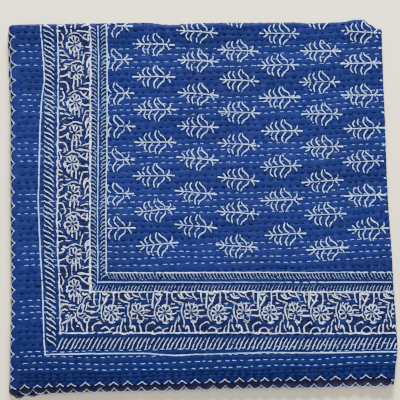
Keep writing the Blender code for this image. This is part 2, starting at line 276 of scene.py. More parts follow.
def fold_shift(s, at):
    """How much of the cloth the uneven top fold has taken over the edge, at one place."""
    short = TOP_CALM - along(TOP_EDGE, fold(s, 0.0, *SIDE_FOLD)[0])
    return short * near_fold(at) * ease((SLIDE_END - at) / (SLIDE_END - TOP_END))


def slide(s, t):
    """Where a height of the straight print comes to lie in the pile that the fold shortens."""
    at = t
    for _ in range(SLIDE_TRIES):
        at = t + fold_shift(s, at)
    return at


def place(s, t, rise):
    """Folds points of the sheet; `rise` is the height over the middle of the cloth."""
    across, height = fold(s, rise, *SIDE_FOLD)
    up, height = fold(slide(s, t), height, *TOP_FOLD)
    z = PILE_MIDDLE + height
    x, y = on_surface(across, up)
    share = climb(z, BOTTOM_LAYER, TOP_LAYER)
    z = z + share * loft(across, up) + (1 - share) * UNDER_LIFT
    return np.stack([x, y, z], axis=-1)


def row_height(row, s):
    """Height of a stitch row over the lower hem."""
    left, middle, right = (np.interp(row, ROW_NUMBERS, heights)
                           for heights in (ROWS_LEFT, ROWS_MIDDLE, ROWS_RIGHT))
    settled, lifted = climb(s, *ROWS_SETTLE), climb(s, *ROWS_LIFT)
    height = left + (middle - left) * settled + (right - middle) * lifted
    for wave in ROW_WAVES:
        height = height + wave.height * np.sin(s * wave.rate + row * wave.turn)
    return height


def row_at(s, t):
    """Which stitch row a point is at, as a number with a fraction."""
    row = np.interp(t, ROWS_MIDDLE, ROW_NUMBERS)
    for _ in range(ROW_TRIES):
        miss = t - row_height(row, s)
        row = np.interp(np.interp(row, ROW_NUMBERS, ROWS_MIDDLE) + miss, ROWS_MIDDLE, ROW_NUMBERS)
    return row


def creases(s, t):
    """Height of the soft creases at a point."""
    height = np.zeros_like(s)
    for crease in CREASES:
        run = np.array([crease.s1 - crease.s0, crease.t1 - crease.t0])
        size = np.hypot(*run)
        forward = ((s - crease.s0) * run[0] + (t - crease.t0) * run[1]) / size
        aside = ((s - crease.s0) * run[1] - (t - crease.t0) * run[0]) / size
        ends = ease(forward / CREASE_FADE) * ease((size - forward) / CREASE_FADE)
        height += crease.height * ends * np.exp(-(aside / crease.width) ** 2)
    return height


def relief(s, t):
    """Height of the quilted surface over an even cloth: ridges between rows, and puckers."""
    row = row_at(s, t)
    arch = np.abs(np.sin(math.pi * row)) ** RIDGE_SHAPE
    swing = RIDGE_MEAN + RIDGE_SWING * np.sin(row * RIDGE_WAVES[0] + s * RIDGE_WAVES[1])
    ripple = 0.0
    for wave in RIPPLES:
        turn = 2 * math.pi * s / wave.length + wave.turn * np.floor(row) + t * wave.slant
        ripple += wave.share * np.sin(turn)
    quilted = FURROW * (arch - 0.5) * swing + RIPPLE * ripple * arch
    fade = ease((t - RELIEF_LOWER[0]) / RELIEF_LOWER[1]) * ease((s - RELIEF_LEFT[0]) / RELIEF_LEFT[1])
    fade *= ease((SIDE_END + FINE_MARGIN - s) / FINE_MARGIN)
    fade *= ease((TOP_END + FINE_MARGIN - slide(s, t)) / FINE_MARGIN)
    return fade * (quilted + creases(s, t))


def hem_reach(side, at):
    """How far the hem lies outside the even sheet, without its scallops."""
    hem = HEMS[side]
    start, end, _ = hem.fold
    over = np.where(at < start, at, np.maximum(0.0, start - np.maximum(0.0, at - end)))
    blend = ease((at - start + FOLD_EASE) / (end - start + 2 * FOLD_EASE))
    return (1 - blend) * along(hem.near, over) + blend * along(hem.far, over)


def notch_place(side, number):
    """Distance along a hem of one of its notches, or of a place between two."""
    numbers, places = zip(*HEMS[side].notches)
    return np.interp(number - HEMS[side].shift, numbers, places)


def notch_number(side, at):
    """The notch that a place on a hem is at, with a fraction."""
    numbers, places = zip(*HEMS[side].notches)
    return np.interp(at, places, numbers) + HEMS[side].shift


def hem_notch(side, at):
    """How far the edging thread draws the hem in."""
    hem = HEMS[side]
    nearest = np.round(notch_number(side, at))
    away = np.minimum(1, np.abs(at - notch_place(side, nearest)) / hem.arm)
    uneven = NOTCH_MEAN + NOTCH_SWING * np.sin(NOTCH_TURN * nearest)
    depth = hem.depth * (1 - np.sin(math.pi / 2 * away)) * uneven
    if side in ("left", "right"):
        depth = depth * ease(np.minimum(at, hem.length - at) / CORNER_CALM)
    return depth


def hem_points(side, at, inset):
    """Points of the sheet that lie inside one of its scalloped hems."""
    depth = hem_notch(side, at) - hem_reach(side, at) + inset
    if side in ("right", "upper"):
        depth = (SHEET_WIDTH if side == "right" else SHEET_LENGTH) - depth
    return (depth, at) if side in ("left", "right") else (at, depth)


def fit_hems(a, b):
    """Moves points of an even rectangle so that its edges become the scalloped hems."""
    s, t = a.copy(), b.copy()
    for side, inside, at in (("left", a, b), ("right", SHEET_WIDTH - a, b),
                             ("lower", b, a), ("upper", SHEET_LENGTH - b, a)):
        out = hem_reach(side, at) * ease(1 - inside / REACH_BLEND)
        out -= hem_notch(side, at) * np.clip(1 - inside / SCALLOP_BLEND, 0, 1) ** 2
        if side in ("left", "right"):
            s += out if side == "right" else -out
        else:
            t += out if side == "upper" else -out
    for across, up in ((0, 0), (1, 0), (0, 1), (1, 1)):
        from_side = np.abs(a - across * SHEET_WIDTH)
        from_hem = np.abs(b - up * SHEET_LENGTH)
        pull = CORNER_ROUND * np.clip(1 - from_side / CORNER_BLEND, 0, 1) ** 2
        pull *= np.clip(1 - from_hem / CORNER_BLEND, 0, 1) ** 2
        s += pull * (1 - 2 * across)
        t += pull * (1 - 2 * up)
    return s, t


# ---------------------------------------------------------------- building meshes
CURVE_STEPS = 6           # stations that a smooth curve has from one charted point to the next
END_TAPER = 0.35          # length of a line's narrowing end, as a share of its width,
END_MOST = 0.2            # and at most this share of its length
END_WIDTH = 0.5           # its width at the very end, as a share
PRINT_ROOT = 0.0003       # the foot of a printed line lies this deep in the cloth
CROWN = 0.00003           # a wide line is this much higher in its middle
PRINT_SHARP = 40          # degrees between two faces of the print that show an edge


def spread(start, end, step):
    """Evenly spaced values from start to end, about a step apart."""
    return np.linspace(start, end, max(1, round((end - start) / step)) + 1)


def grid(across, up):
    """Every pairing of two lists of values, as points."""
    return np.stack(np.meshgrid(across, up), axis=-1).reshape(-1, 2)


class Piece:
    """Faces of one piece, gathered on the flat sheet as (s, t, rise)."""

    def __init__(self):
        self.points, self.faces, self.count = [], [], 0

    def add(self, points, faces):
        points = np.asarray(points, float).reshape(-1, 3)
        self.points.append(points)
        self.faces += [np.asarray(group) + self.count for group in faces]
        self.count += len(points)


def smooth(points, widths, step):
    """A smooth curve through a chart's points, with its width at each station."""
    points, widths = np.asarray(points, float), np.asarray(widths, float)
    if len(points) > 2:
        guide = np.vstack([2 * points[0] - points[1], points, 2 * points[-1] - points[-2]])
        u = np.linspace(0, 1, CURVE_STEPS, endpoint=False)[:, None]
        spans = []
        for p0, p1, p2, p3 in zip(guide, guide[1:], guide[2:], guide[3:]):
            spans.append(p1 + 0.5 * u * (p2 - p0 + u * (2 * p0 - 5 * p1 + 4 * p2 - p3
                                                         + u * (3 * (p1 - p2) + p3 - p0))))
        stops = np.arange(len(spans) * CURVE_STEPS + 1) / CURVE_STEPS
        widths = np.interp(stops, np.arange(len(widths)), widths)
        points = np.vstack(spans + [points[-1:]])
    run = np.concatenate([[0], np.cumsum(np.linalg.norm(np.diff(points, axis=0), axis=1))])
    length = run[-1]
    tip = min(END_TAPER * widths.mean(), END_MOST * length)
    inner = np.linspace(tip, length - tip, max(1, round((length - 2 * tip) / step)) + 1)
    stations = np.concatenate([[0], inner, [length]])
    path = np.stack([np.interp(stations, run, points[:, k]) for k in (0, 1)], axis=-1)
    wide = np.interp(stations, run, widths)
    wide[[0, -1]] *= END_WIDTH
    return path, wide


def ribbon(piece, path, wide, rise):
    """Adds a printed line: a thin closed strip on the cloth, with its root inside it."""
    forward = np.gradient(path, axis=0)
    forward /= np.maximum(np.linalg.norm(forward, axis=1, keepdims=True), 1e-9)
    side = np.stack([-forward[:, 1], forward[:, 0]], axis=-1) * wide[:, None] / 2
    crown = [(path, rise + CROWN)] if wide.max() > WIDE_LINE else []
    rings = [(path + side, rise)] + crown + [(path - side, rise), (path, -PRINT_ROOT)]
    count, sides = len(path), len(rings)
    points = np.stack([np.column_stack([xy, np.full(count, z)]) for xy, z in rings], axis=1)
    index = np.arange(count * sides).reshape(count, sides)
    after = np.roll(index, -1, axis=1)
    walls = np.stack([index[:-1], index[1:], after[1:], after[:-1]], axis=-1).reshape(-1, 4)
    ends = [index[:1, ::-1], index[-1:]]
    piece.add(points, [walls[:, ::-1]] + ends)


def tubes(piece, paths, radius, sides):
    """Adds many threads at once; `paths` holds (s, t, rise) by thread and station."""
    forward = np.gradient(paths[..., :2], axis=1)
    forward /= np.maximum(np.linalg.norm(forward, axis=-1, keepdims=True), 1e-9)
    side = np.stack([-forward[..., 1], forward[..., 0], np.zeros(paths.shape[:2])], axis=-1)
    turn = 2 * math.pi * np.arange(sides) / sides
    rings = paths[:, :, None, :] + radius * (
        side[:, :, None, :] * np.cos(turn)[:, None] + np.array([0, 0, 1]) * np.sin(turn)[:, None])
    threads, stations = paths.shape[:2]
    index = np.arange(threads * stations * sides).reshape(threads, stations, sides)
    after = np.roll(index, -1, axis=2)
    walls = np.stack([index[:, :-1], after[:, :-1], after[:, 1:], index[:, 1:]], axis=-1)
    piece.add(rings, [walls.reshape(-1, 4), index[:, 0, ::-1], index[:, -1]])


def make_object(name, points, faces, sheet, materials, sharp=0):
    """A mesh object from arrays of points and faces, with its place on the sheet kept."""
    mesh = bpy.data.meshes.new(name)
    sizes = np.concatenate([np.full(len(group), group.shape[1]) for group in faces])
    corners = np.concatenate([group.ravel() for group in faces]).astype(np.int32)
    mesh.vertices.add(len(points))
    mesh.vertices.foreach_set("co", points.astype(np.float32).ravel())
    mesh.loops.add(len(corners))
    mesh.loops.foreach_set("vertex_index", corners)
    mesh.polygons.add(len(sizes))
    starts = np.concatenate([[0], np.cumsum(sizes)[:-1]]).astype(np.int32)
    mesh.polygons.foreach_set("loop_start", starts)
    mesh.update(calc_edges=True)
    mesh.shade_smooth()
    if sharp:
        mesh.set_sharp_from_angle(angle=math.radians(sharp))
    place_on = mesh.attributes.new("sheet", "FLOAT_VECTOR", "POINT")
    place_on.data.foreach_set("vector", sheet.astype(np.float32).ravel())
    for material in materials:
        mesh.materials.append(material)
    thing = bpy.data.objects.new(name, mesh)
    bpy.context.scene.collection.objects.link(thing)
    return thing


def fold_piece(piece, name, material, under=False, lining=False, sharp=0):
    """Folds a piece drawn on the sheet on to the quilt, on its upper or its under side."""
    sheet = np.vstack(piece.points)
    faces = {}
    for group in piece.faces:
        faces.setdefault(group.shape[1], []).append(group)
    faces = [np.vstack(groups) for _, groups in sorted(faces.items())]
    s, t, rise = sheet.T
    if under:
        t = SHEET_LENGTH - t
    if under != lining:
        faces = [group[:, ::-1] for group in faces]
    if lining:
        points = place(s, t, -THICK / 2 - rise)
    else:
        points = place(s, t, THICK / 2 + relief(s, t) + rise)
    thing = make_object(name, points, faces, sheet, [material], sharp)
    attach(thing, "root")
    return thing


# ---------------------------------------------------------------- the cloth


def outline():
    """Nominal points round the edge of the sheet, counter-clockwise."""
    across = spread(0, SHEET_WIDTH, CLOTH_STEP)[:-1]
    up = spread(0, SHEET_LENGTH, CLOTH_STEP)[:-1]
    return np.vstack([grid(across, [0]), grid([SHEET_WIDTH], up),
                      grid(SHEET_WIDTH - across, [SHEET_LENGTH]), grid([0], SHEET_LENGTH - up)])


def hem_lines():
    """Nominal points on lines inside the four hems, sparser further in."""
    lines = []
    for inset in HEM_LINES:
        step = max(CLOTH_STEP, inset)
        across = spread(inset, SHEET_WIDTH - inset, step)
        up = spread(inset, SHEET_LENGTH - inset, step)[1:-1]
        lines.append(grid(across, [inset, SHEET_LENGTH - inset]))
        lines.append(grid([inset, SHEET_WIDTH - inset], up))
    return np.vstack(lines)


def fine_points():
    """Points of the top layer's printed face, on lines that follow the stitch rows."""
    past_s = SIDE_END + spread(0, FINE_MARGIN, CLOTH_STEP)[1:]
    past_t = TOP_END + spread(0, FINE_MARGIN, CLOTH_STEP)[1:]
    across = np.concatenate([spread(HEM_LINES[0], SIDE_START, CLOTH_STEP)[:-1], BENDS_S, past_s])
    rows = np.arange(-1.0, ROWS[-1].row, 1 / LINES_PER_ROW)
    s, row = grid(across, rows).T
    t = row_height(row, s)
    keep = (t > HEM_CLEAR) & (slide(s, t) < TOP_START - FOLD_CLEAR)
    over = before_slide(grid(across, np.concatenate([BENDS_T, past_t])))
    return np.vstack([np.column_stack([s, t])[keep], over])


def before_slide(points):
    """Points of the straight print that come to lie at the heights given."""
    s, at = points.T
    return np.column_stack([s, at - fold_shift(s, at)])


def coarse_points(past_s, past_t):
    """Points of the parts of the sheet beyond two lines, where nothing fine shows."""
    inset = HEM_LINES[-1] + COARSE_STEP / 2
    lines = []
    for bends, size in ((BENDS_S, SHEET_WIDTH), (BENDS_T, SHEET_LENGTH)):
        before = spread(inset, bends[0] - COARSE_STEP / 2, COARSE_STEP)
        after = spread(bends[-1] + COARSE_STEP, size - inset, COARSE_STEP)
        lines.append(np.concatenate([before, bends, after]))
    points = grid(*lines)
    return before_slide(points[(points[:, 0] > past_s) | (points[:, 1] > past_t)])


def triangulate(edge, inner):
    """Triangles of the flat sheet over its edge points and the points inside."""
    points = np.vstack([edge, inner])
    _, _, triangles, sources, _, inside = delaunay_2d_cdt(
        [Vector(point) for point in points.tolist()], [], [range(len(edge))], 1, 1e-7, True)
    given = np.array([names[0] for names in sources])
    return points, given[np.array([face for face, within in zip(triangles, inside) if within])]


def facing(points, faces, up):
    """Triangles of the sheet, all turned to face up or all to face down."""
    one, two, three = (points[faces[:, k]] for k in range(3))
    first, second = two - one, three - one
    turns_left = first[:, 0] * second[:, 1] - first[:, 1] * second[:, 0] > 0
    return np.where(turns_left[:, None] == up, faces, faces[:, ::-1])


def half_thick(points, rim):
    """Half the cloth's thickness at its points, of which the first ones are its edge."""
    share = np.ones(len(points))
    share[:rim] = EDGE_THIN
    return THICK / 2 * share


def print_shade(s, t, marks):
    """How much of the print's darker indigo lies at each point: a soft halo round the marks."""
    shape = (int((SIDE_END + HALO_MARGIN) / HALO_CELL), int((TOP_END + HALO_MARGIN) / HALO_CELL))
    halo = np.zeros(shape)
    index = np.clip((marks / HALO_CELL).astype(int), 0, np.array(shape) - 1)
    halo[index[:, 0], index[:, 1]] = 1.0
    for _ in range(HALO_BLURS):
        for axis in (0, 1):
            halo = (halo + np.roll(halo, 1, axis) + np.roll(halo, -1, axis)) / 3
    halo = np.clip(halo * HALO_GAIN, 0, 1)
    column = np.clip((s / HALO_CELL).astype(int), 0, shape[0] - 1)
    line = np.clip((t / HALO_CELL).astype(int), 0, shape[1] - 1)
    return halo[column, line] * (s < shape[0] * HALO_CELL) * (t < shape[1] * HALO_CELL)


def build_cloth(materials, marks):
    """The whole throw as one closed sheet: printed face, lining face and rounded edge."""
    edge = np.column_stack(fit_hems(*outline().T))
    hems = hem_lines()
    end_s, end_t = SIDE_END + FINE_MARGIN, TOP_END + FINE_MARGIN
    far = hems[(hems[:, 0] > end_s) | (hems[:, 1] > end_t) | (hems[:, 1] < HEM_CLEAR)]
    front = np.vstack([fine_points(), far, coarse_points(end_s, end_t)])
    back = np.vstack([hems, coarse_points(-1, -1)])
    front, front_faces = triangulate(edge, np.column_stack(fit_hems(*front.T)))
    back, back_faces = triangulate(edge, np.column_stack(fit_hems(*back.T)))
    front_faces = facing(front, front_faces, True)
    back_faces = facing(back, back_faces, False)

    rim = len(edge)
    top = place(*front.T, half_thick(front, rim) + relief(*front.T))
    low = place(*back.T, -half_thick(back, rim))
    out = np.roll(edge, -1, axis=0) - np.roll(edge, 1, axis=0)
    out = np.column_stack([out[:, 1], -out[:, 0]])
    out /= np.linalg.norm(out, axis=1, keepdims=True)
    bulge = edge + out * EDGE_BULGE
    middle = place(*bulge.T, np.zeros(rim))

    points = np.vstack([top, low, middle])
    on_sheet = [(front, 0.0), (back, 1.0), (bulge, 0.0)]     # 1 marks the lining
    sheet = np.vstack([np.column_stack([group, np.full(len(group), mark)]) for group, mark in on_sheet])
    ring = np.arange(rim)
    after = np.roll(ring, -1)
    low_ring, low_after = ring + len(front), after + len(front)
    mid_ring, mid_after = low_ring + len(back), after + len(front) + len(back)
    rims = [np.column_stack([ring, mid_ring, mid_after, after]),
            np.column_stack([mid_ring, low_ring, low_after, mid_after])]
    faces = [np.vstack([front_faces, back_faces + len(front)]), np.vstack(rims)]
    cloth = make_object("quilt_cloth", points, faces, sheet, materials)
    lined = np.zeros(len(cloth.data.polygons), np.int32)
    lined[len(front_faces):len(faces[0])] = 1
    lined[len(faces[0]) + rim:] = 1
    cloth.data.polygons.foreach_set("material_index", lined)
    halo = np.zeros(len(points), np.float32)
    halo[:len(front)] = print_shade(*front.T, marks)
    cloth.data.attributes.new("halo", "FLOAT", "POINT").data.foreach_set("value", halo)
    bake_map(cloth.data, lined)
    return cloth


# ---------------------------------------------------------------- the block print
PRINT_STEP = 0.0024       # spacing of stations along a printed line
WIDE_LINE = 0.0024        # lines wider than this follow the cloth along their middle too
WOBBLE = 0.0009           # a ragged stroke strays by this times its raggedness
RAGGED = 0.07             # raggedness of the plain print
RAGGED_RANGE = (0.35, 1.8)      # a ragged stroke's width stays within these shares
STRAY = 0.22              # millimetres that a chart's points stray by
PEN = 0.865               # the charts' widths are those of a freshly inked block
PEN_UNEVEN = 0.07
BREAK_LEAST = 6           # only strokes of more stations break,
BREAK_CLEAR = (2, 3)      # and no nearer to their two ends than this
SPRIG_BREAKS = 0.15       # share of strokes with a break
BORDER_BREAKS = 0.08      # the same for the hatches and the flower trail
WHITE_RISE = 0.00020      # height of the pale print over the cloth
NAVY_RISE = 0.00012       # and of the dark print below it
HALO_CELL = 0.0011        # the dark halo round the print is reckoned on a grid of such cells,
HALO_GAIN = 6.0
HALO_BLURS = 3            # spread this often
HALO_MARGIN = 0.02        # and this far past the folds
FOLD_END_S = SIDE_END + 0.010   # the print is drawn this far round the folds
FOLD_END_T = SHEET_LENGTH / 2 + 0.0006      # (to the middle of the sheet)

# A stroke of a chart: its points in millimetres, and its widths along them
Stroke = namedtuple("Stroke", "points widths")


def chart(*strokes):
    """Strokes, each charted as stations of x, y and width."""
    return [Stroke([(x, y) for x, y, _ in stations], [width for _, _, width in stations])
            for stations in strokes]


# One field sprig, lying on its side: x along its stem, y across it
SPRIG = chart(
    ((-31, 0.7, 1.9), (-26, 0.4, 1.3)),
    ((-27, 0.4, 0.9), (-12, 0.2, 0.8), (4, 0.2, 0.8), (19, -0.2, 0.9)),
    ((18, -0.1, 0.9), (24, -0.4, 1.2), (31, -0.8, 2)),
    ((-18.6, 0.4, 0.8), (-20.6, 3.2, 1), (-24, 7, 0.9)),
    ((-13.6, 2.2, 0.7), (-16.2, 5.6, 1), (-16.2, 9.6, 1.1), (-13.4, 13.4, 0.8)),
    ((-4.2, 2.2, 0.7), (-8.2, 6.2, 1), (-9.4, 10.4, 1.1), (-7.4, 14.6, 0.8)),
    ((6.2, 1.4, 0.7), (1.4, 5.8, 1), (-0.8, 11.2, 1.2), (1.6, 17.4, 0.8)),
    ((14.8, 2.2, 0.7), (13.4, 6.6, 1), (8.6, 10.6, 1.2), (5.4, 13.6, 1.1), (4.4, 17.4, 0.7)),
    ((18.6, 1, 0.9), (22, 3.2, 1), (23.4, 5.6, 1), (22.8, 8.2, 0.8)),
    ((-18.8, -0.4, 0.8), (-21.2, -3.4, 1), (-25.4, -5.2, 1)),
    ((-13.8, -2.2, 0.7), (-16.2, -6.2, 1), (-15.4, -10.8, 1), (-12.4, -14.2, 0.7)),
    ((-4.8, -1.4, 0.7), (-8.4, -5.6, 1), (-9.4, -10.6, 1.1), (-7.6, -15.6, 0.8)),
    ((6, -1.8, 0.8), (1.8, -6.2, 1.1), (-0.8, -11.4, 1.2), (0.8, -17.6, 0.8)),
    ((15.2, -2, 0.7), (14.4, -6.8, 1), (10.8, -9.6, 1.2), (6.8, -13.2, 1.1), (4.8, -18, 0.7)),
    ((19, -1, 0.9), (22.2, -4.4, 1), (24, -8.4, 0.9)),
)

# Middles of the sprigs on the top layer, column by column from the foot up, in millimetres
# across and up the sheet, and how far each is turned, in degrees
COLUMNS = [table("s t turn", column) for column in (
    ((154.5, 229.5, 0), (153, 281, 0), (153, 332.3, 0), (155.5, 384, -1), (155.5, 434.5, 0),
     (153.5, 487.5, 0), (155.5, 540, -1)),
    ((216.5, 204.3, 4), (215.5, 255.2, 3), (213.8, 307.4, -1), (217.2, 358.5, -2), (217, 408.4, -1),
     (216.5, 459.5, -2), (217.2, 510.6, -3)),
    ((274.9, 230.1, -7), (276.5, 280.4, -7), (280.1, 332, -7), (281.4, 381, -4), (283.2, 431.6, -6),
     (283.5, 483.7, -4), (284.2, 529, -6)),
    ((334.3, 199, -6), (338.7, 248.7, -6), (341, 299.5, -7), (342.5, 352.6, -6), (343.7, 401.7, -4),
     (345.1, 451.7, -5), (344.4, 498.6, -4), (345.5, 552, -4)),
    ((407.6, 214.9, 2), (404.8, 266.6, 1), (404.4, 317.2, 1), (408, 371.9, -1), (406.3, 423.3, 0),
     (405.1, 474.4, 0), (409.3, 523.7, -2)),
    ((468.8, 191.9, 2), (469, 243, 1), (467.1, 293.6, 2), (468.4, 346, 0), (469, 396.6, -2),
     (467.1, 446.7, -1), (469.9, 495.2, -1), (470, 547, -1)),
    ((532, 219.6, 1), (529.6, 270.4, 0), (528.8, 321.8, 0), (531.5, 373, -1), (530.2, 424.6, -2),
     (530.8, 474.4, -1), (533, 523.6, -6)),
    ((589.5, 194.5, 0), (589, 245.2, 0), (589.6, 295.8, 0), (589.4, 346.4, 0), (589.6, 396.6, 0),
     (589.2, 447, 0), (589.6, 497, 0), (589.6, 547, 0)),
)]
SPRIG_PITCH = 50.6        # from the last sprig of the top layer on, round the fold
SPRIG_HALF = 18.0
SPRIG_UNEVEN = 0.012      # sprigs differ in size by about this share
FAR_BORDER = 165.0        # depth of the border at the far end of the sheet
SPRIG_LEAN = 1.4          # the chart itself leans this much the other way
FIELD_EDGE = 3.0          # the print block leaves this much bare inside the inner line

# Border lines: where each lies, as pairs of a distance along the border and one from the hem
LEFT_LINES = {
    "outer": ((47, 51.2), (69, 48.8), (208, 42.8), (275, 40.2), (396, 44.2), (427, 45.8),
              (458, 50.7), (543, 46.7)),
    "floral low": ((77, 72.0), (200, 68.6), (349, 69.7), (533, 72.2)),
    "floral high": ((135, 115.8), (198, 116.8), (348, 118.6), (532, 121.5)),
    "middle": ((149, 127.4), (198, 128.6), (348, 130.6), (532, 133.6)),
    "inner": ((163, 140.6), (171, 140.7), (348, 143.4), (532, 146.5)),
}
LOWER_LINES = {
    "outer": ((50, 48.6), (203, 45.3), (240, 41.7), (276, 42.6), (363, 42.5), (436, 40.3),
              (560, 37.8)),
    "floral low": ((71, 78.5), (203, 74.8), (349, 71.0), (554, 65.4)),
    "floral high": ((115, 136.5), (278, 132.8), (425, 129.4), (558, 125.6)),
    "middle": ((127, 150.2), (278, 146.7), (426, 143.4), (558, 139.6)),
    "inner": ((140, 163.9), (279, 160.8), (426, 157.5), (558, 153.8)),
}
LEFT_WIDTHS = {"outer": 1.10, "floral low": 1.3, "floral high": 1.7, "middle": 0.74, "inner": 0.95}
LOWER_WIDTHS = {"outer": 1.10, "floral low": 1.5, "floral high": 1.6, "middle": 0.72, "inner": 0.95}
# The plain lines come in the length of the printing block, the ragged ones along the flowers
# in short pieces. Lap is from a piece to the next, and negative for a gap; step is from
# station to station; stray and uneven are those of the stations' places and widths.
LineKind = namedtuple("LineKind", "piece lap step stray uneven")
PLAIN = LineKind(155.0, 1.2, 6.0, 0.12, 0.10)
FLORAL = LineKind(26.0, -0.4, 3.4, 0.55, 0.48)
JOINT_STRAY = 3.0         # a joint between two pieces strays about this far along the line,
JOINT_CLEAR = 12          # and there is none this near the fold
PIECE_STRAY = 0.25        # a whole piece strays about this far sideways
LINE_RANGE = (0.7, 3.6)   # least and greatest width
LINE_STEP = 0.003

HATCH_TURN = 2.5          # degrees that a hatch stroke is turned by chance
HATCH_UNEVEN = 0.04       # share that it differs by in size
HATCH_STRAY = 0.05        # share of the pitch that it strays by
# The hatched bands: a stroke repeated along a line of the border, and the dark gap beside it.
# `away` is how far its centre lies from that line, away from the hem being positive.
Hatch = namedtuple("Hatch", "line away pitch start white navy")
LEFT_HATCHES = (
    Hatch("floral low", -13, 7.5, 66, *chart(
        ((-7.2, 5.6, 0.6), (-5, 3.2, 1), (-0.5, 1, 1.2), (3.5, -1.6, 1), (7, -5.6, 0.6)),
        ((-5.8, 0.6, 1.5), (-3.4, -0.8, 2.8), (0.6, -2.9, 2.8), (4.4, -5.6, 1.5)),
    )),
    Hatch("floral high", 0, 5.84, 138, *chart(
        ((0, 0.4, 0.48), (3.8, 0, 0.47), (7, -2.2, 0.41), (8.8, -4.8, 0.31)),
        ((2, -2.6, 1.9), (4.4, -3, 2.2), (6.2, -4.4, 1.3)),
    )),
    Hatch("inner", 0, 5.82, 160, *chart(
        ((0, 0.4, 0.48), (-3.8, -0.4, 0.47), (-6.9, -2.6, 0.41), (-8.6, -5.4, 0.31)),
        ((-2, -2.8, 1.9), (-4.4, -3.4, 2.2), (-6.2, -5, 1.3)),
    )),
)
LOWER_HATCHES = (
    Hatch("floral low", -15.2, 6.27, 72, *chart(
        ((-5, -8.2, 0.7), (-3.2, -7, 0.9), (-1.2, -2, 1), (1.6, 3.4, 0.9), (5, 8.2, 0.5)),
        ((0.9, -6.2, 1.6), (2.2, -2, 2.6), (4.4, 2.4, 2.6), (6.4, 5.6, 1.5)),
    )),
    Hatch("floral high", 0, 4.85, 118, *chart(
        ((0, 0.4, 0.40), (0.7, 3.8, 0.38), (2.2, 7.2, 0.34), (3.6, 9.2, 0.26)),
        ((2.4, 2, 1.9), (2.8, 4.4, 2.1), (4, 6.8, 1.2)),
    )),
    Hatch("inner", 0, 4.83, 141, *chart(
        ((0, -0.4, 0.40), (0.8, -4, 0.38), (2.5, -7.4, 0.34), (4.5, -9.5, 0.26)),
        ((2.4, -2, 1.9), (2.8, -4.6, 2.1), (4, -7, 1.2)),
    )),
)
BORDERS = table("lines widths hatches upright end", (
    (LEFT_LINES, LEFT_WIDTHS, LEFT_HATCHES, True, FOLD_END_T / MM),
    (LOWER_LINES, LOWER_WIDTHS, LOWER_HATCHES, False, FOLD_END_S / MM),
))

# The flower trail, as it lies in the lower border: x along the band, y across it towards
# the field. Flowers of two kinds take turns, and each brings its own leaves.
FLOWER_PEN = 0.66         # the ink of the trail spread less than its chart shows
NAVY_RAGGED = 0.12        # raggedness of its dark shapes
CREAM_RAGGED = 0.25       # and of its pale lines
PETALS = [table("angle near far width", flower) for flower in (
    ((9, 3.2, 9.4, 3.2), (56, 4, 10.6, 3), (97, 3.8, 10.2, 2.6), (143, 3.8, 10, 3.2),
     (190, 4, 10.2, 3.4), (232, 4.6, 11.2, 3.2), (271, 5.2, 12.8, 3.4), (313, 4.4, 11.4, 3.4)),
    ((4, 3.6, 9, 2.4), (47, 3.6, 10.2, 3.2), (86, 4.4, 11.8, 3.2), (124, 4.4, 11.6, 3.2),
     (170, 3.6, 9.6, 3.6), (218, 4.2, 10.6, 3.8), (296, 4.8, 12.4, 4.2)),
)]
PETAL_WIDTHS = (0.45, 1.0, 0.80)  # along a petal, as shares of its width
SPOKE_START = 2.4
SPOKE_WIDTHS = (0.8, 1.1, 2.0, 2.6)
TIP_ROOM = 1.0            # from a petal's tip to the pale arc round it
TIP_DIP = 0.84            # the arc falls back this far between two petals
TIP_STOPS = ((-1.25, False), (-0.5, True), (0.5, True), (1.25, False))  # sideways, at the tip
TIP_WIDTHS = (1.9, 1.2, 1.2, 1.9)
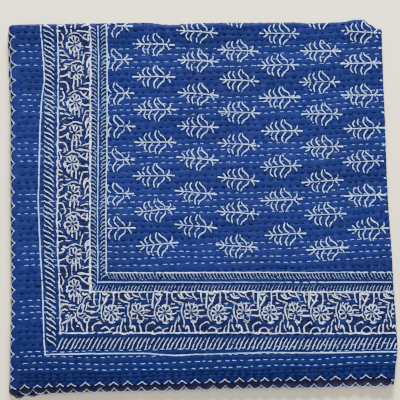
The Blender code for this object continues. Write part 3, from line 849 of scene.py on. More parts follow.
FLOWER_NAVY = (
    chart(
        ((-12.2, 9, 0.8), (-12.4, 3, 1.6), (-12.2, -3, 1.6), (-10, -9, 0.8)),
        ((12.4, 3.4, 2.8), (18, 2.6, 2)),
        ((11.8, -4.6, 2.6), (16.8, -5.4, 1.6)),
        ((8.6, 25.4, 3.2), (7.4, 19.4, 4.4), (9.8, 15.6, 3.8), (18, 10.4, 2.2)),
        ((15.6, 26.6, 3.8), (16.2, 20.8, 2.8)),
        ((-0.8, 25.4, 3.6), (-0.6, 18.6, 5), (-4.8, 13.6, 2.2)),
        ((-12.4, 22.4, 2.2), (-9, 26.4, 3.2), (-5.2, 24, 3.4), (-6, 21.4, 2)),
        ((-13.6, 19, 2.4), (-14.2, 12.6, 1.6)),
        ((-24, -21.5, 2.6), (-17.6, -18.4, 3.4), (-12.6, -18, 2)),
        ((-13.6, -25, 3), (-6.2, -25.2, 3)),
        ((-1.6, -27, 2.4), (5, -26.4, 3.2)),
        ((11.6, -21.6, 2.6), (11.8, -27, 3.2)),
        ((18.2, -12, 1.8), (17.8, -20.6, 3), (19.4, -27.4, 3.4)),
        ((27, -8, 2), (27.2, -17, 3.2), (28.6, -25.6, 3.4)),
    ),
    chart(
        ((-12.6, 9.4, 0.8), (-13, 2, 1.8), (-12.2, -4.6, 0.9)),
        ((11.4, 6, 2.6), (18.4, 6.4, 1.6)),
        ((12.4, -1.4, 2.4), (19.6, -1.6, 1.6)),
        ((-8.6, -21, 3.6), (-7, -27, 2.6)),
        ((-1.4, -17, 3.2), (-0.4, -22.4, 4.4), (1.4, -27, 2.8)),
        ((8.2, -13.6, 2.8), (9.4, -18.6, 4.4), (9.6, -26, 2.6)),
        ((17.6, -20.4, 4.8), (18.2, -26.6, 3.6)),
        ((-13.4, 27, 2.6), (-9.6, 26, 4), (-5.6, 26.4, 2.2)),
        ((-1.6, 27, 2.4), (2.4, 25.4, 3.8), (6, 25.2, 2.4)),
        ((9.8, 25.4, 3.6), (14, 22.6, 2.6)),
        ((18.4, 26.2, 4.2), (18.6, 18.6, 3.4), (19, 11.6, 1.8)),
        ((-19.6, 20.4, 2), (-14, 18.4, 2.8), (-6, 18.6, 1.8)),
        ((22.6, -7.8, 1.6), (17.6, -9.6, 2.8), (13.6, -13, 1.8)),
    ),
)
FLOWER_CREAM = (
    chart(
        ((9, 6, 1.6), (12.6, 7, 1.9), (20.2, 6.4, 2.2)),
        ((9.4, -1.4, 1.9), (14.2, -1.8, 2.3), (17.6, -0.4, 1)),
        ((9.8, -6.6, 2.4), (13.6, -8, 1.3)),
        ((7.8, -10.4, 2.6), (12.2, -9.6, 1.5)),
        ((-3, -14.4, 1.8), (2, -15.6, 2.6), (6, -13.6, 1.5)),
        ((3, 13.4, 1.3), (2.8, 10.4, 1.2)),
        ((-13, 11.6, 1), (-14.5, 4.6, 1.5), (-15, -2.4, 1.6), (-13, -7.6, 1.4), (-10, -12.8, 0.8)),
        ((4, 28.6, 2.4), (4, 18.6, 1.8), (2.2, 11.8, 1.5), (-1.2, 8.2, 1.1)),
        ((-3.4, 26.4, 2.8), (-6.2, 22, 2.2), (-7.6, 17.4, 2.4), (-10.8, 13.4, 2.2), (-13.4, 9.4, 1.2)),
        ((-12.8, 23, 1.3), (-11.4, 19, 1.8), (-8.8, 16.2, 1.8)),
        ((-13, 27.8, 3), (-9, 26.6, 2.6), (-5.4, 27.4, 3)),
        ((-16, 28.6, 1.9), (-17, 20.6, 1.4), (-17.4, 13.6, 1.3), (-17.8, 6, 0.8)),
        ((12, 29, 1.8), (12.2, 20.4, 1.4), (16.2, 17, 1.6), (23, 14.6, 1.9), (27, 13.4, 1)),
        ((10.2, 13.2, 1.1), (15, 13, 1)),
        ((18.2, -10.6, 1.1), (15.4, -16.4, 1.8), (14.8, -23.4, 1.5), (13.6, -29, 3.4)),
        ((20.6, -3.6, 0.9), (21.2, -8.6, 1.5), (20.6, -14.4, 0.8)),
        ((20.6, -18.2, 1), (21.4, -23, 1.9), (23.4, -27, 1.2)),
        ((-15.4, -24, 1.1), (-9.4, -20.8, 1.9), (-4.2, -23.4, 1.5), (-2.4, -29, 2.2)),
        ((-2.6, -26.4, 1.2), (-0.8, -24, 1.3), (4.4, -22.4, 1.7)),
        ((7.8, -30, 2.2), (9, -22, 1.4), (11.4, -19, 0.9)),
        ((-20.4, -14.8, 1.2), (-16.4, -13, 1.8), (-13.8, -16.6, 1.1)),
    ),
    chart(
        ((-4.4, 12.2, 2), (-3.4, 15.6, 1)),
        ((2.6, 12, 2), (4.8, 14.6, 1)),
        ((-8.8, 10.2, 1.6), (-7, 13.6, 1.1)),
        ((-0.8, -12.2, 2.2), (2.6, -14.8, 2.4), (7, -13.4, 1.3)),
        ((9.6, 2.6, 1.6), (13.4, 3.4, 2.2), (19.2, 2.4, 1.2)),
        ((8.6, -4, 1.4), (13.6, -4.6, 2.2), (19.6, -5.2, 2.2), (24.2, -4.4, 1.2)),
        ((9, 8.6, 1.5), (12.6, 10.6, 1.6), (16.4, 9.8, 0.9)),
        ((-11.6, 14.4, 1), (-14.5, 7.2, 1.6), (-15, -0.8, 1.7), (-13, -7, 1.5), (-11, -13, 1.6),
         (-12.4, -21, 2)),
        ((-9.8, -23.4, 2), (-8.2, -18.4, 4), (-5.4, -20.6, 2.6), (-4, -28.6, 3.2)),
        ((1.8, -15.4, 1.3), (4.2, -22, 1.7), (5.4, -30, 3.2)),
        ((12.4, -30, 2.2), (12.2, -20.4, 1.6), (16.6, -16.4, 1.8), (23.4, -13.4, 1.3)),
        ((21.4, -30, 3.2), (22.6, -25.2, 1.3)),
        ((-19, 27.4, 3.2), (-17.4, 23.4, 2.6), (-12, 20.8, 3), (-6, 21.6, 1)),
        ((-15.4, 29, 2.6), (-14.6, 25.4, 2), (-11.6, 23, 1.2)),
        ((-9, 29.6, 2.2), (-5, 24.8, 1.9), (2.4, 22.4, 1.1)),
        ((1.8, 29.4, 2), (4.8, 22.6, 1.5), (8.2, 18.2, 1.1)),
        ((14.4, 28.8, 2.4), (15, 20.4, 1.6), (16.8, 14, 1)),
        ((24.2, 28.6, 1.9), (22.8, 20, 1.5), (21.6, 12, 1.4), (22, 5.6, 0.9)),
    ),
)

# The corner of the trail, in millimetres over the sheet
CORNER_NAVY = chart(
    ((103.4, 110.6, 1.6), (103.8, 115.4, 3.4)),
    ((107.4, 110.6, 1.6), (108.8, 115, 3.2)),
    ((110.6, 109.8, 1.6), (113.4, 112.8, 3.2)),
    ((117.4, 111.4, 3), (123, 110.4, 2.2)),
    ((100.6, 108.6, 3.2), (102, 108.6, 3.2)),
    ((101, 102.4, 2.4), (104.6, 102.6, 1.8)),
    ((111.2, 96.6, 3), (112.8, 96.4, 3)),
    ((78, 107, 3), (76.8, 101, 4), (80.6, 98.6, 3)),
    ((76, 115.8, 3), (88, 114.6, 4), (98, 114.4, 2.6)),
    ((84.4, 107.8, 3.4), (90, 106.8, 2)),
    ((86, 96, 2.8), (85.4, 84, 3.6)),
    ((93.4, 97.6, 3.6), (93.6, 84.6, 4.6), (98, 83, 3.2)),
    ((106.4, 98, 2.6), (107.6, 84, 4.2)),
    ((116.8, 90.6, 5), (121.6, 95, 4.2), (130, 95.4, 2.6)),
    ((115.4, 86, 4), (116.4, 82.4, 3.2)),
    ((123, 85.6, 4.6), (124.4, 79.4, 5)),
    ((114, 104, 2.8), (124, 103, 2.8)),
    ((107, 127.6, 4.4), (111.6, 126.4, 4.6), (118, 121, 3)),
    ((118, 131, 3.2), (118, 124, 4)),
    ((75.6, 138, 2.6), (76, 132, 3.6)),
)
CORNER_CREAM = chart(
    ((98.4, 112.4, 1.6), (97.4, 107.6, 1.6), (100.8, 105, 1.5), (104.8, 106.6, 1.3), (104.6, 110, 1)),
    ((98.4, 112.6, 1.4), (101, 117.6, 1.8), (104.4, 119.2, 2), (106.4, 121.8, 1)),
    ((105.6, 109.4, 0.9), (106, 114, 1.2), (106.6, 118.4, 1.8)),
    ((108.4, 109.4, 0.9), (111, 113, 1.2), (110.8, 117.8, 2.2), (113.8, 121, 1.4)),
    ((111.8, 117.2, 2.2), (116.4, 114.6, 1.8), (122.8, 115, 1.4)),
    ((109.6, 109, 1.2), (113.4, 107.8, 2), (120.4, 107, 2.6), (126, 108.2, 2.2), (129.2, 112, 1.8),
     (130, 118, 1.2)),
    ((96.8, 104.4, 1.1), (99.6, 100.2, 1.7), (104, 99.8, 1.6), (107.2, 103.2, 1)),
    ((109.6, 103.4, 1.2), (114, 100.6, 2), (120.2, 99, 2.2), (127.2, 99.4, 1.4)),
    ((112.4, 99.6, 1.6), (108.6, 98.6, 2), (107, 94.6, 2.2), (110.4, 92.6, 2), (114, 94, 1.6),
     (114.8, 98.4, 1.6)),
    ((111.4, 92.6, 2), (111.6, 79.6, 2.8)),
    ((73, 109.4, 1.6), (78.2, 112.4, 2), (83.6, 110.4, 1.2)),
    ((73.4, 119.4, 1.6), (80, 119.8, 2), (86.4, 118.2, 2), (94, 117.8, 1.4)),
    ((86, 112.4, 1.6), (95.6, 111.6, 1.4)),
    ((79.4, 103.2, 1.8), (84.6, 103.6, 3.8), (84.2, 98.6, 2.6), (79.6, 94.4, 3), (74, 92.2, 2.4)),
    ((88.8, 104.6, 1), (85.8, 98, 1.5), (82.4, 91.6, 1.3), (81.8, 83.8, 1.6), (80.4, 79.6, 3)),
    ((91.6, 108.2, 1), (94.4, 103.8, 1.7), (93.2, 100.4, 1.6), (89.4, 99.4, 1.6), (88.4, 91.6, 1.5),
     (89.2, 86, 2), (92.2, 81.4, 1.2)),
    ((94.6, 99.6, 1.5), (96.6, 94.6, 2.6), (101.6, 92.2, 2.6)),
    ((98, 92, 2.2), (102.4, 89.6, 1.7), (104.2, 84.2, 1.7), (106.6, 79.8, 2.2)),
    ((74.8, 90.4, 1.2), (76.4, 85.6, 1.8), (74.4, 81.4, 1.2)),
    ((95.6, 87.2, 1.6), (98.4, 86.8, 1.4)),
    ((119.6, 79.8, 1.6), (119.6, 86, 2), (123.8, 89.6, 2), (131.8, 90.6, 2.2)),
    ((100, 133.8, 1.8), (102, 127.6, 1.8), (101.2, 121.4, 1)),
    ((105, 136.4, 2.4), (106.6, 133, 3.6), (112, 134.2, 1.8)),
    ((113.4, 133.4, 1.6), (115.6, 126.2, 1)),
    ((121.6, 137, 2.6), (121.8, 129.6, 1.9), (121.4, 122, 1.8), (124.8, 116, 1)),
)

# Flowers' middles along each border, from the corner out, and the directions on the sheet of
# the unit's x and y, with how far each border stretches it
LEFT_FLOWERS = ((93.2, 143.0), (93.2, 190.0), (91.8, 237.5), (92.1, 283.5), (92.0, 329.0),
                (95.6, 375.0), (96.9, 422.5), (98.4, 469.0), (97.2, 513.0), (97.0, 559.0))
LOWER_FLOWERS = ((146.6, 105.6), (185.9, 104.6), (225.3, 103.6), (264.8, 102.8),
                 (303.8, 102.0), (341.9, 101.2), (379.2, 100.0), (417.0, 99.0),
                 (454.4, 98.0), (491.6, 97.2), (529.4, 96.4), (567.0, 95.6))
TRAILS = table("places across up", (
    (LEFT_FLOWERS, (0, -1.16), (0.80, 0)),
    (LOWER_FLOWERS, (0.98, 0), (0, 1.0)),
))


# Where a chart is printed: its place over the sheet, in millimetres, and the directions of
# its x and y
Place = namedtuple("Place", "s t across up")


class Printer:
    """Draws charts on the sheet with the unevenness of a hand-cut, hand-inked block."""

    def __init__(self, seed):
        self.random = np.random.default_rng(seed)
        self.marks = []

    def stroke(self, piece, stroke, place, rise, broken=0.0, ragged=RAGGED):
        """Prints one stroke of a chart at its place."""
        chance = self.random.normal
        points = np.array(stroke.points, float)
        points += chance(0, STRAY, points.shape)
        points = points @ np.array([place.across, place.up], float) * MM
        points += (place.s * MM, place.t * MM)
        widths = np.array(stroke.widths, float) * chance(1, PEN_UNEVEN) * PEN * MM
        path, wide = smooth(points, widths, PRINT_STEP)
        path[1:-1] += chance(0, WOBBLE * ragged, path[1:-1].shape)
        wide *= np.clip(chance(1, ragged, len(wide)), *RAGGED_RANGE)
        self.marks.append(path)
        if self.random.random() < broken and len(path) > BREAK_LEAST:
            cut = self.random.integers(BREAK_CLEAR[0], len(path) - BREAK_CLEAR[1]) + 1
            ribbon(piece, path[:cut], wide[:cut], rise)
            ribbon(piece, path[cut:], wide[cut:], rise)
        else:
            ribbon(piece, path, wide, rise)


def turned(degrees, scale):
    """Directions of a chart's x and y after a small turn, as long as its scale."""
    angle = math.radians(degrees)
    return ((scale * math.cos(angle), scale * math.sin(angle)),
            (-scale * math.sin(angle), scale * math.cos(angle)))


def sprig_places(under):
    """The sprigs of the field: those of the top layer, or those that go on below the fold."""
    if not under:
        return [sprig for column in COLUMNS for sprig in column]
    limit = SHEET_LENGTH / MM - FAR_BORDER - SPRIG_HALF
    places = []
    for column in COLUMNS:
        last = column[-1]
        heights = np.arange(last.t + SPRIG_PITCH, limit, SPRIG_PITCH)
        places += [(last.s, height, 0) for height in heights]
    return places


def print_field(printer, white, under):
    """The sprigs of the field."""
    for s, t, turn in sprig_places(under):
        across, up = turned(turn + SPRIG_LEAN, 1 + printer.random.normal(0, SPRIG_UNEVEN))
        edge = np.interp(t, *zip(*LEFT_LINES["inner"])) + FIELD_EDGE
        place = Place(s, SHEET_LENGTH / MM - t if under else t, across, up)
        for points, widths in SPRIG:
            if s + min(x for x, _ in points) < edge:
                points = [(x, y) for x, y in points if s + x > edge - FIELD_EDGE]
                widths = widths[-len(points):]
                if len(points) < 2:
                    continue
            if under:
                points = [(x, -y) for x, y in points]
            printer.stroke(white, Stroke(points, widths), place, WHITE_RISE, SPRIG_BREAKS)


def line_at(lines, name, at):
    """Distance of a border line from the hem, in millimetres."""
    stops, values = zip(*lines[name])
    return np.interp(at, stops, values)


def print_lines(printer, white, cream):
    """The plain and the ragged lines of both borders."""
    chance = printer.random.normal
    for border in BORDERS:
        for name, places in border.lines.items():
            kind, piece = (FLORAL, cream) if "floral" in name else (PLAIN, white)
            width = border.widths[name]
            start = places[0][0] - width / 2
            joints = [at + chance(0, JOINT_STRAY)
                      for at in np.arange(start + kind.piece, border.end - JOINT_CLEAR, kind.piece)]
            for first, last in zip([start] + joints, joints + [border.end]):
                stops = spread(first, last + kind.lap, kind.step)
                aside = line_at(border.lines, name, stops) + chance(0, PIECE_STRAY)
                aside = aside + chance(0, kind.stray, len(stops))
                points = np.column_stack([aside, stops] if border.upright else [stops, aside])
                widths = np.clip(width * chance(1, kind.uneven, len(stops)), *LINE_RANGE)
                path, wide = smooth(points * MM, widths * MM, LINE_STEP)
                ribbon(piece, path, wide, WHITE_RISE)


def print_hatches(printer, white, navy):
    """The three hatched bands of both borders."""
    chance = printer.random.normal
    for border in BORDERS:
        for hatch in border.hatches:
            at = hatch.start
            while at < border.end:
                aside = line_at(border.lines, hatch.line, at) + hatch.away
                s, t = (aside, at) if border.upright else (at, aside)
                place = Place(s, t, *turned(chance(0, HATCH_TURN), chance(1, HATCH_UNEVEN)))
                printer.stroke(navy, hatch.navy, place, NAVY_RISE)
                printer.stroke(white, hatch.white, place, WHITE_RISE, BORDER_BREAKS)
                at += hatch.pitch * chance(1, HATCH_STRAY)


def polar(reach, angle):
    """Point of a chart at a distance and a direction from its middle."""
    return reach * math.cos(math.radians(angle)), reach * math.sin(math.radians(angle))


def rosette(petals):
    """Strokes of a flower: dark petals, and the pale spokes and arcs that part and tip them."""
    navy, cream = [], []
    for petal, after in zip(petals, petals[1:] + petals[:1]):
        middle = (petal.near + petal.far) / 2
        navy.append(Stroke([polar(reach, petal.angle) for reach in (petal.near, middle, petal.far)],
                           [petal.width * share for share in PETAL_WIDTHS]))
        gap = (after.angle - petal.angle) % 360 / 2
        end = (petal.far + after.far) / 2 * TIP_DIP
        reaches = np.linspace(SPOKE_START, end, len(SPOKE_WIDTHS))
        cream.append(Stroke([polar(reach, petal.angle + gap) for reach in reaches], SPOKE_WIDTHS))
        side = math.degrees(petal.width / petal.far)
        arc = [polar(petal.far + TIP_ROOM if tip else petal.far * TIP_DIP, petal.angle + aside * side)
               for aside, tip in TIP_STOPS]
        cream.append(Stroke(arc, TIP_WIDTHS))
    return navy, cream


def past_fold(stroke, place):
    """Whether the middle of a stroke lies beyond the top fold, where the other side's print is."""
    middle = np.mean(stroke.points, axis=0) @ np.array([place.across, place.up], float)
    return (place.t + middle[1]) * MM > FOLD_END_T


def print_flowers(printer, cream, navy):
    """The flower trail of both borders, and its corner."""
    kinds = []
    for petals, dark, pale in zip(PETALS, FLOWER_NAVY, FLOWER_CREAM):
        dark_petals, spokes = rosette(petals)
        kinds.append((dark_petals + dark, spokes + pale))
    units = [(Place(s, t, trail.across, trail.up), *kinds[k % 2])
             for trail in TRAILS for k, (s, t) in enumerate(trail.places)]
    units.append((Place(0, 0, (1, 0), (0, 1)), CORNER_NAVY, CORNER_CREAM))
    for place, dark, pale in units:
        for stroke in dark:
            if not past_fold(stroke, place):
                printer.stroke(navy, stroke, place, NAVY_RISE, ragged=NAVY_RAGGED)
        for stroke in pale:
            if not past_fold(stroke, place):
                inked = Stroke(stroke.points, [width * FLOWER_PEN for width in stroke.widths])
                printer.stroke(cream, inked, place, WHITE_RISE, BORDER_BREAKS, CREAM_RAGGED)


# ---------------------------------------------------------------- the stitches
STITCH_PERIOD = 0.0113    # from one stitch to the next
PERIOD_UNEVEN = 0.10      # its unevenness
PERIOD_RANGE = (0.75, 1.4)      # and range, as shares
STITCH_LENGTH = 0.0061
LENGTH_UNEVEN = 0.0010
LENGTH_RANGE = (0.0040, 0.0092)
STITCH_TILT = 0.07        # slope of a stitch to its row
STITCH_STRAY = 0.00022    # how far it lies beside its row, and bends
STITCH_LIFT = 0.00006     # how much higher or lower it lies by chance
STITCH_SIDES = 5
ROW_START = (0.0075, 0.008)     # rows begin this far inside the left hem, and by chance more
ROW_LATE = 0.009          # every third row begins later still, by up to this
ROW_END = SIDE_END + 0.004
STITCH_RADII = {"white": 0.00032, "navy": 0.00052}
STITCH_RISES = (-0.00045, 0.00012, 0.00028, 0.00028, 0.00012, -0.00045)     # along a stitch
LAST_ROW = 59             # the row that lies in the top fold
LAST_ROW_UNDER = 55       # and the nearest one drawn from the other side
GROUP = 8                 # four rows of white thread, then four of navy
GROUP_SHIFT = 5


def is_white(row):
    """Rows of stitches change colour in groups of four."""
    return (row + GROUP_SHIFT) % GROUP < GROUP // 2


def stitch_rows(random, white, last):
    """Running stitches of one colour, as paths over the sheet."""
    paths = []
    stations = np.linspace(-0.5, 0.5, len(STITCH_RISES))
    for row in range(last + 1):
        if is_white(row) != white:
            continue
        start = ROW_START[0] + ROW_START[1] * random.random()
        if row % 3 == 1:
            start += ROW_LATE * random.random()
        while start < ROW_END:
            length = np.clip(random.normal(STITCH_LENGTH, LENGTH_UNEVEN), *LENGTH_RANGE)
            tilt = random.normal(0, STITCH_TILT)
            bend = random.normal(0, STITCH_STRAY)
            s = start + length / 2 + stations * length
            t = row_height(row, s) + random.normal(0, STITCH_STRAY)
            t = t + stations * length * tilt + bend * (1 - 4 * stations ** 2)
            rise = np.array(STITCH_RISES) + random.normal(0, STITCH_LIFT)
            paths.append(np.column_stack([s, t, rise]))
            start += STITCH_PERIOD * np.clip(random.normal(1, PERIOD_UNEVEN), *PERIOD_RANGE)
    return np.array(paths)


# ---------------------------------------------------------------- thread along the hems
HEM_THREAD = 0.00030      # radius
HEM_SIDES = 4
HEM_INSET = 0.0006        # the thread lies this far inside the edge,
HEM_STRAY = 0.0001        # more or less
TIP_UNEVEN = 0.18         # share that the tips differ by in depth
# How deep the thread's tips reach past the notches: pairs of a distance along the hem and a
# depth there
HEM_TIPS = {
    "lower": ((0.0, 0.0006), (0.3, 0.0010), (1.0, 0.0016)),
    "right": ((0.0, 0.0014), (1.0, 0.0014)),
    "upper": ((0.0, 0.0012), (1.0, 0.0012)),
    "left": ((0.0, 0.0010), (0.42, 0.0014), (0.47, 0.0040), (0.53, 0.0036)),
}
SUNK_THREAD = 0.0007      # on the printed face the thread sinks half way between two notches,
SUNK_HALF = 0.22          # for this much of a pitch to either side,
SUNK_FADE = 0.14          # less and less over the last part
# Stations of the thread round one scallop, in pitches from its notch: how far each is drawn
# in from the edge, as a share of the stitch's tip, and its height over the face
HEM_STATIONS = table("at drawn rise", (
    (-0.06, 0.90, -0.00020), (-0.01, 1.00, 0.00020), (0.04, 0.62, 0.00022), (0.12, 0.20, 0.00020),
    (0.24, -0.10, 0.00012), (0.37, -0.30, -0.00010), (0.50, -0.38, -0.00025), (0.63, -0.30, -0.00010),
    (0.76, -0.10, 0.00012), (0.88, 0.20, 0.00020), (0.96, 0.62, 0.00022), (1.01, 1.00, 0.00020),
    (1.06, 0.90, -0.00020),
))


def hem_thread(random, side, tips, sunk):
    """Threads that bind the scallops of a hem, one for each; `tips` says how deep they reach."""
    paths = []
    first, last = math.ceil(notch_number(side, 0)), int(notch_number(side, HEMS[side].length))
    for number in range(first, last):
        where, drawn, rise = np.array(HEM_STATIONS).T
        at = notch_place(side, number + where)
        deep = np.interp(at.mean(), *zip(*tips)) * random.normal(1, TIP_UNEVEN)
        inset = HEM_INSET + deep * drawn + random.normal(0, HEM_STRAY, len(at))
        rise = rise - sunk * ease((SUNK_HALF - np.abs(where - 0.5)) / SUNK_FADE)
        s, t = hem_points(side, at, inset)
        paths.append(np.column_stack([s, t, rise]))
    return np.array(paths)


# ---------------------------------------------------------------- materials
# Colours of the dyes, threads and floor, as linear reflectances; thin print is where the
# cloth shows through
INDIGO = (0.0084, 0.0118, 0.0700, 1.0)
INDIGO_BRIGHT = (0.0080, 0.0126, 0.0880, 1.0)
INDIGO_DEEP = (0.0026, 0.0064, 0.0420, 1.0)
INDIGO_PALE = (0.0420, 0.0460, 0.1300, 1.0)
# a paler indigo, painted as light over the middle of the folded face
INDIGO_LIT = (0.0300, 0.0400, 0.2000, 1.0)
HEM_PAINTED_SHADE = 0.20           # share of the deep indigo painted along the lower hem as shade
MIDDLE_PAINTED_LIGHT = 0.07       # share of the paler indigo painted over the middle of the folded face as light
NAVY_PRINT = (0.0064, 0.0074, 0.0300, 1.0)
NAVY_THIN = (0.0095, 0.0125, 0.0580, 1.0)
PRINT_WHITE = (0.40, 0.63, 1.00, 1.0)
PRINT_THIN = (0.09, 0.17, 0.55, 1.0)
PRINT_CREAM = (0.51, 0.63, 1.00, 1.0)
PRINT_AGED = (0.57, 0.59, 0.48, 1.0)
CREAM_THIN = (0.16, 0.19, 0.42, 1.0)
LINING = (0.0240, 0.0205, 0.0540, 1.0)
LINING_DEEP = (0.0170, 0.0158, 0.0390, 1.0)
WHITE_THREAD = (0.22, 0.38, 0.86, 1.0)
WHITE_SHADE = (0.11, 0.19, 0.48, 1.0)
HEM_WHITE = (0.46, 0.54, 0.82, 1.0)
HEM_SHADE = (0.22, 0.26, 0.46, 1.0)
NAVY_THREAD = (0.0018, 0.0022, 0.0280, 1.0)
NAVY_SHADE = (0.0014, 0.0016, 0.0180, 1.0)
FLOOR = (0.720, 0.652, 0.485, 1.0)
FLOOR_SHADE = (0.698, 0.635, 0.475, 1.0)

# Sizes of the patterns
SPECULAR = 0.03           # cotton hardly shines
WEAVE = 0.00055           # pitch of the cloth's threads
TWIST = 0.0009            # and of the twist in a stitch
TWIST_BEND = 1.5
SLUB_LONG = 40            # slubs to a metre along a thread,
SLUB_SHORT = 900          # and across it
# Noises: features to a metre, octaves and roughness
DYE_PATCHES = (8.0, 3.0, 0.5)
DYE_MOTTLE = (85.0, 4.0, 0.65)
SLUBS = (1.0, 2.0, 0.5)
LINING_MOTTLE = (60.0, 4.0, 0.6)
INK_PATCHES = (260.0, 3.0, 0.6)
INK_BROAD = (45.0, 2.0, 0.5)
INK_SPOTS = (130.0, 2.0, 0.5)
FIBRES = (900.0, 3.0, 0.6)
FLOOR_CLOUD = (3.0, 2.0, 0.5)
# Ramps: the range of a pattern's values over which it begins to show, and the share that it
# then has, from 0 to 1 where none is given
GRAIN = (0.3, 0.7)
BRIGHTER = (0.35, 0.65)
DEEPER = (0.32, 0.62, 0.0, 0.7)
PALER = (0.26, 0.46, 0.0, 0.45)
HALO_WORN = (0.3, 0.6, 0.75, 1.0)
HALO_DARK = (0.05, 0.8, 0.0, 0.9)
INK_THIN = (0.50, 0.72, 0.0, 0.35)
INK_AGED = (0.47, 0.60)
FIBRE_SHADE = (0.35, 0.75)
# Bands of the folded face where shade and light are painted, in metres up the cloth or across it
LOWER_SHADE_BAND = (0.020, 0.160)       # the painted shade along the lower hem fades over this height
LIT_IN = (0.110, 0.200)        # the painted light over the middle begins and ends over these heights,
LIT_OUT = (0.310, 0.450)
LIT_RIGHT = (0.360, 0.540)     # and weakens towards the right over this breadth
LIT_LEAST = 0.3                # to this share
# Print is thin where its noise is above its coverage, more and more over a range of it
COVERAGE = {"white": 0.55, "cream": 0.55, "navy": 0.50}
COVER_SOFT = 0.16
COVER_WORN = 0.7
# Least and greatest roughness, and height and strength of each surface's bumps
COTTON_ROUGH = (0.82, 0.95)
LINING_ROUGH = (0.85, 0.95)
INK_ROUGH = (0.78, 0.92)
THREAD_ROUGH = (0.6, 0.8)
FLOOR_ROUGH = 0.8
COTTON_BUMP = (0.00012, 0.6)
LINING_BUMP = (0.0001, 0.6)
INK_BUMP = (0.00008, 0.6)
THREAD_BUMP = (0.00015, 0.7)


class Material:
    """A procedural material whose nodes read places on the flat sheet."""

    def __init__(self, name):
        self.made = bpy.data.materials.new(name)
        self.made.use_nodes = True
        self.tree = self.made.node_tree
        self.shader = self.tree.nodes["Principled BSDF"]
        self.shader.inputs["Specular IOR Level"].default_value = SPECULAR

    def node(self, kind, inputs, **settings):
        """Adds a node; each input is a constant or another node's output."""
        made = self.tree.nodes.new(kind)
        for name, value in settings.items():
            setattr(made, name, value)
        for name, value in inputs.items():
            self.join(value, made.inputs[name])
        return made

    def join(self, value, socket):
        """Links an output to a socket, or sets the socket's constant."""
        if isinstance(value, bpy.types.NodeSocket):
            self.tree.links.new(value, socket)
        else:
            socket.default_value = value

    def sheet(self, scale=(1, 1, 1)):
        """Places on the flat sheet, in metres, stretched by a scale."""
        read = self.node("ShaderNodeAttribute", {}, attribute_name="sheet")
        mapped = self.node("ShaderNodeMapping", {"Vector": read.outputs["Vector"], "Scale": scale})
        return mapped.outputs["Vector"]

    def noise(self, vector, scale, detail, rough):
        """Noise with features about one over the scale in size."""
        made = self.node("ShaderNodeTexNoise", {"Vector": vector, "Scale": scale,
                                                "Detail": detail, "Roughness": rough})
        return made.outputs["Fac"]

    def ramp(self, value, low, high, start=0.0, end=1.0):
        """Stretches a value from one range to another, and clamps it."""
        made = self.node("ShaderNodeMapRange", {"Value": value, "From Min": low, "From Max": high,
                                                "To Min": start, "To Max": end})
        return made.outputs["Result"]

    def maths(self, operation, one, two):
        """A sum, product or the like of two values."""
        made = self.node("ShaderNodeMath", {0: one, 1: two}, operation=operation)
        return made.outputs["Value"]

    def mix(self, share, one, two):
        """A blend of two colours."""
        made = self.node("ShaderNodeMix", {0: share, 6: one, 7: two}, data_type="RGBA")
        return made.outputs[2]

    def bands(self, direction, pitch, distortion=0.0):
        """Waves over the sheet in one direction."""
        made = self.node("ShaderNodeTexWave", {"Vector": self.sheet(), "Scale": 0.1 * math.pi / pitch,
                                               "Distortion": distortion}, bands_direction=direction)
        return made.outputs["Fac"]

    def weave(self):
        """Height of a plain weave: threads over and under by turns."""
        return self.maths("MULTIPLY", self.bands("X", WEAVE), self.bands("Y", WEAVE))

    def surface(self, colour, roughness):
        """Gives the surface its colour and roughness."""
        self.join(colour, self.shader.inputs["Base Color"])
        self.join(roughness, self.shader.inputs["Roughness"])

    def bump(self, height, distance, strength):
        """Raises the surface by a height in metres."""
        made = self.node("ShaderNodeBump", {"Height": height, "Distance": distance,
                                            "Strength": strength})
        self.join(made.outputs["Normal"], self.shader.inputs["Normal"])


def printed_cotton():
    """Indigo cotton, unevenly dyed, darker round the print; painted shade darkens it along the lower
    hem and painted light brightens its middle.
    """
    cloth = Material("printed cotton")
    patches = cloth.noise(cloth.sheet(), *DYE_PATCHES)
    mottle = cloth.noise(cloth.sheet(), *DYE_MOTTLE)
    weft = cloth.noise(cloth.sheet((SLUB_LONG, SLUB_SHORT, 1)), *SLUBS)
    warp = cloth.noise(cloth.sheet((SLUB_SHORT, SLUB_LONG, 1)), *SLUBS)
    slubs = cloth.maths("MULTIPLY", weft, warp)
    colour = cloth.mix(cloth.ramp(patches, *BRIGHTER), INDIGO, INDIGO_BRIGHT)
    colour = cloth.mix(cloth.ramp(mottle, *DEEPER), colour, INDIGO_DEEP)
    colour = cloth.mix(cloth.ramp(slubs, *PALER), colour, INDIGO_PALE)
    across, up, _ = cloth.node("ShaderNodeSeparateXYZ", {"Vector": cloth.sheet()}).outputs
    # painted shade: the cloth is darker towards the lower hem
    colour = cloth.mix(cloth.ramp(up, *LOWER_SHADE_BAND, HEM_PAINTED_SHADE, 0.0), colour, INDIGO_DEEP)
    # painted light: paler indigo over the middle of the folded face, weaker towards the right
    middle = cloth.maths("MINIMUM", cloth.ramp(up, *LIT_IN, 0.0, MIDDLE_PAINTED_LIGHT),
                         cloth.ramp(up, *LIT_OUT, MIDDLE_PAINTED_LIGHT, 0.0))
    middle = cloth.maths("MULTIPLY", middle, cloth.ramp(across, *LIT_RIGHT, 1.0, LIT_LEAST))
    colour = cloth.mix(middle, colour, INDIGO_LIT)
    halo = cloth.node("ShaderNodeAttribute", {}, attribute_name="halo").outputs["Fac"]
    shade = cloth.maths("MULTIPLY", halo, cloth.ramp(mottle, *HALO_WORN))
    colour = cloth.mix(cloth.ramp(shade, *HALO_DARK), colour, NAVY_PRINT)
    cloth.surface(colour, cloth.ramp(mottle, *GRAIN, *COTTON_ROUGH))
    cloth.bump(cloth.maths("ADD", cloth.weave(), slubs), *COTTON_BUMP)
    return cloth.made


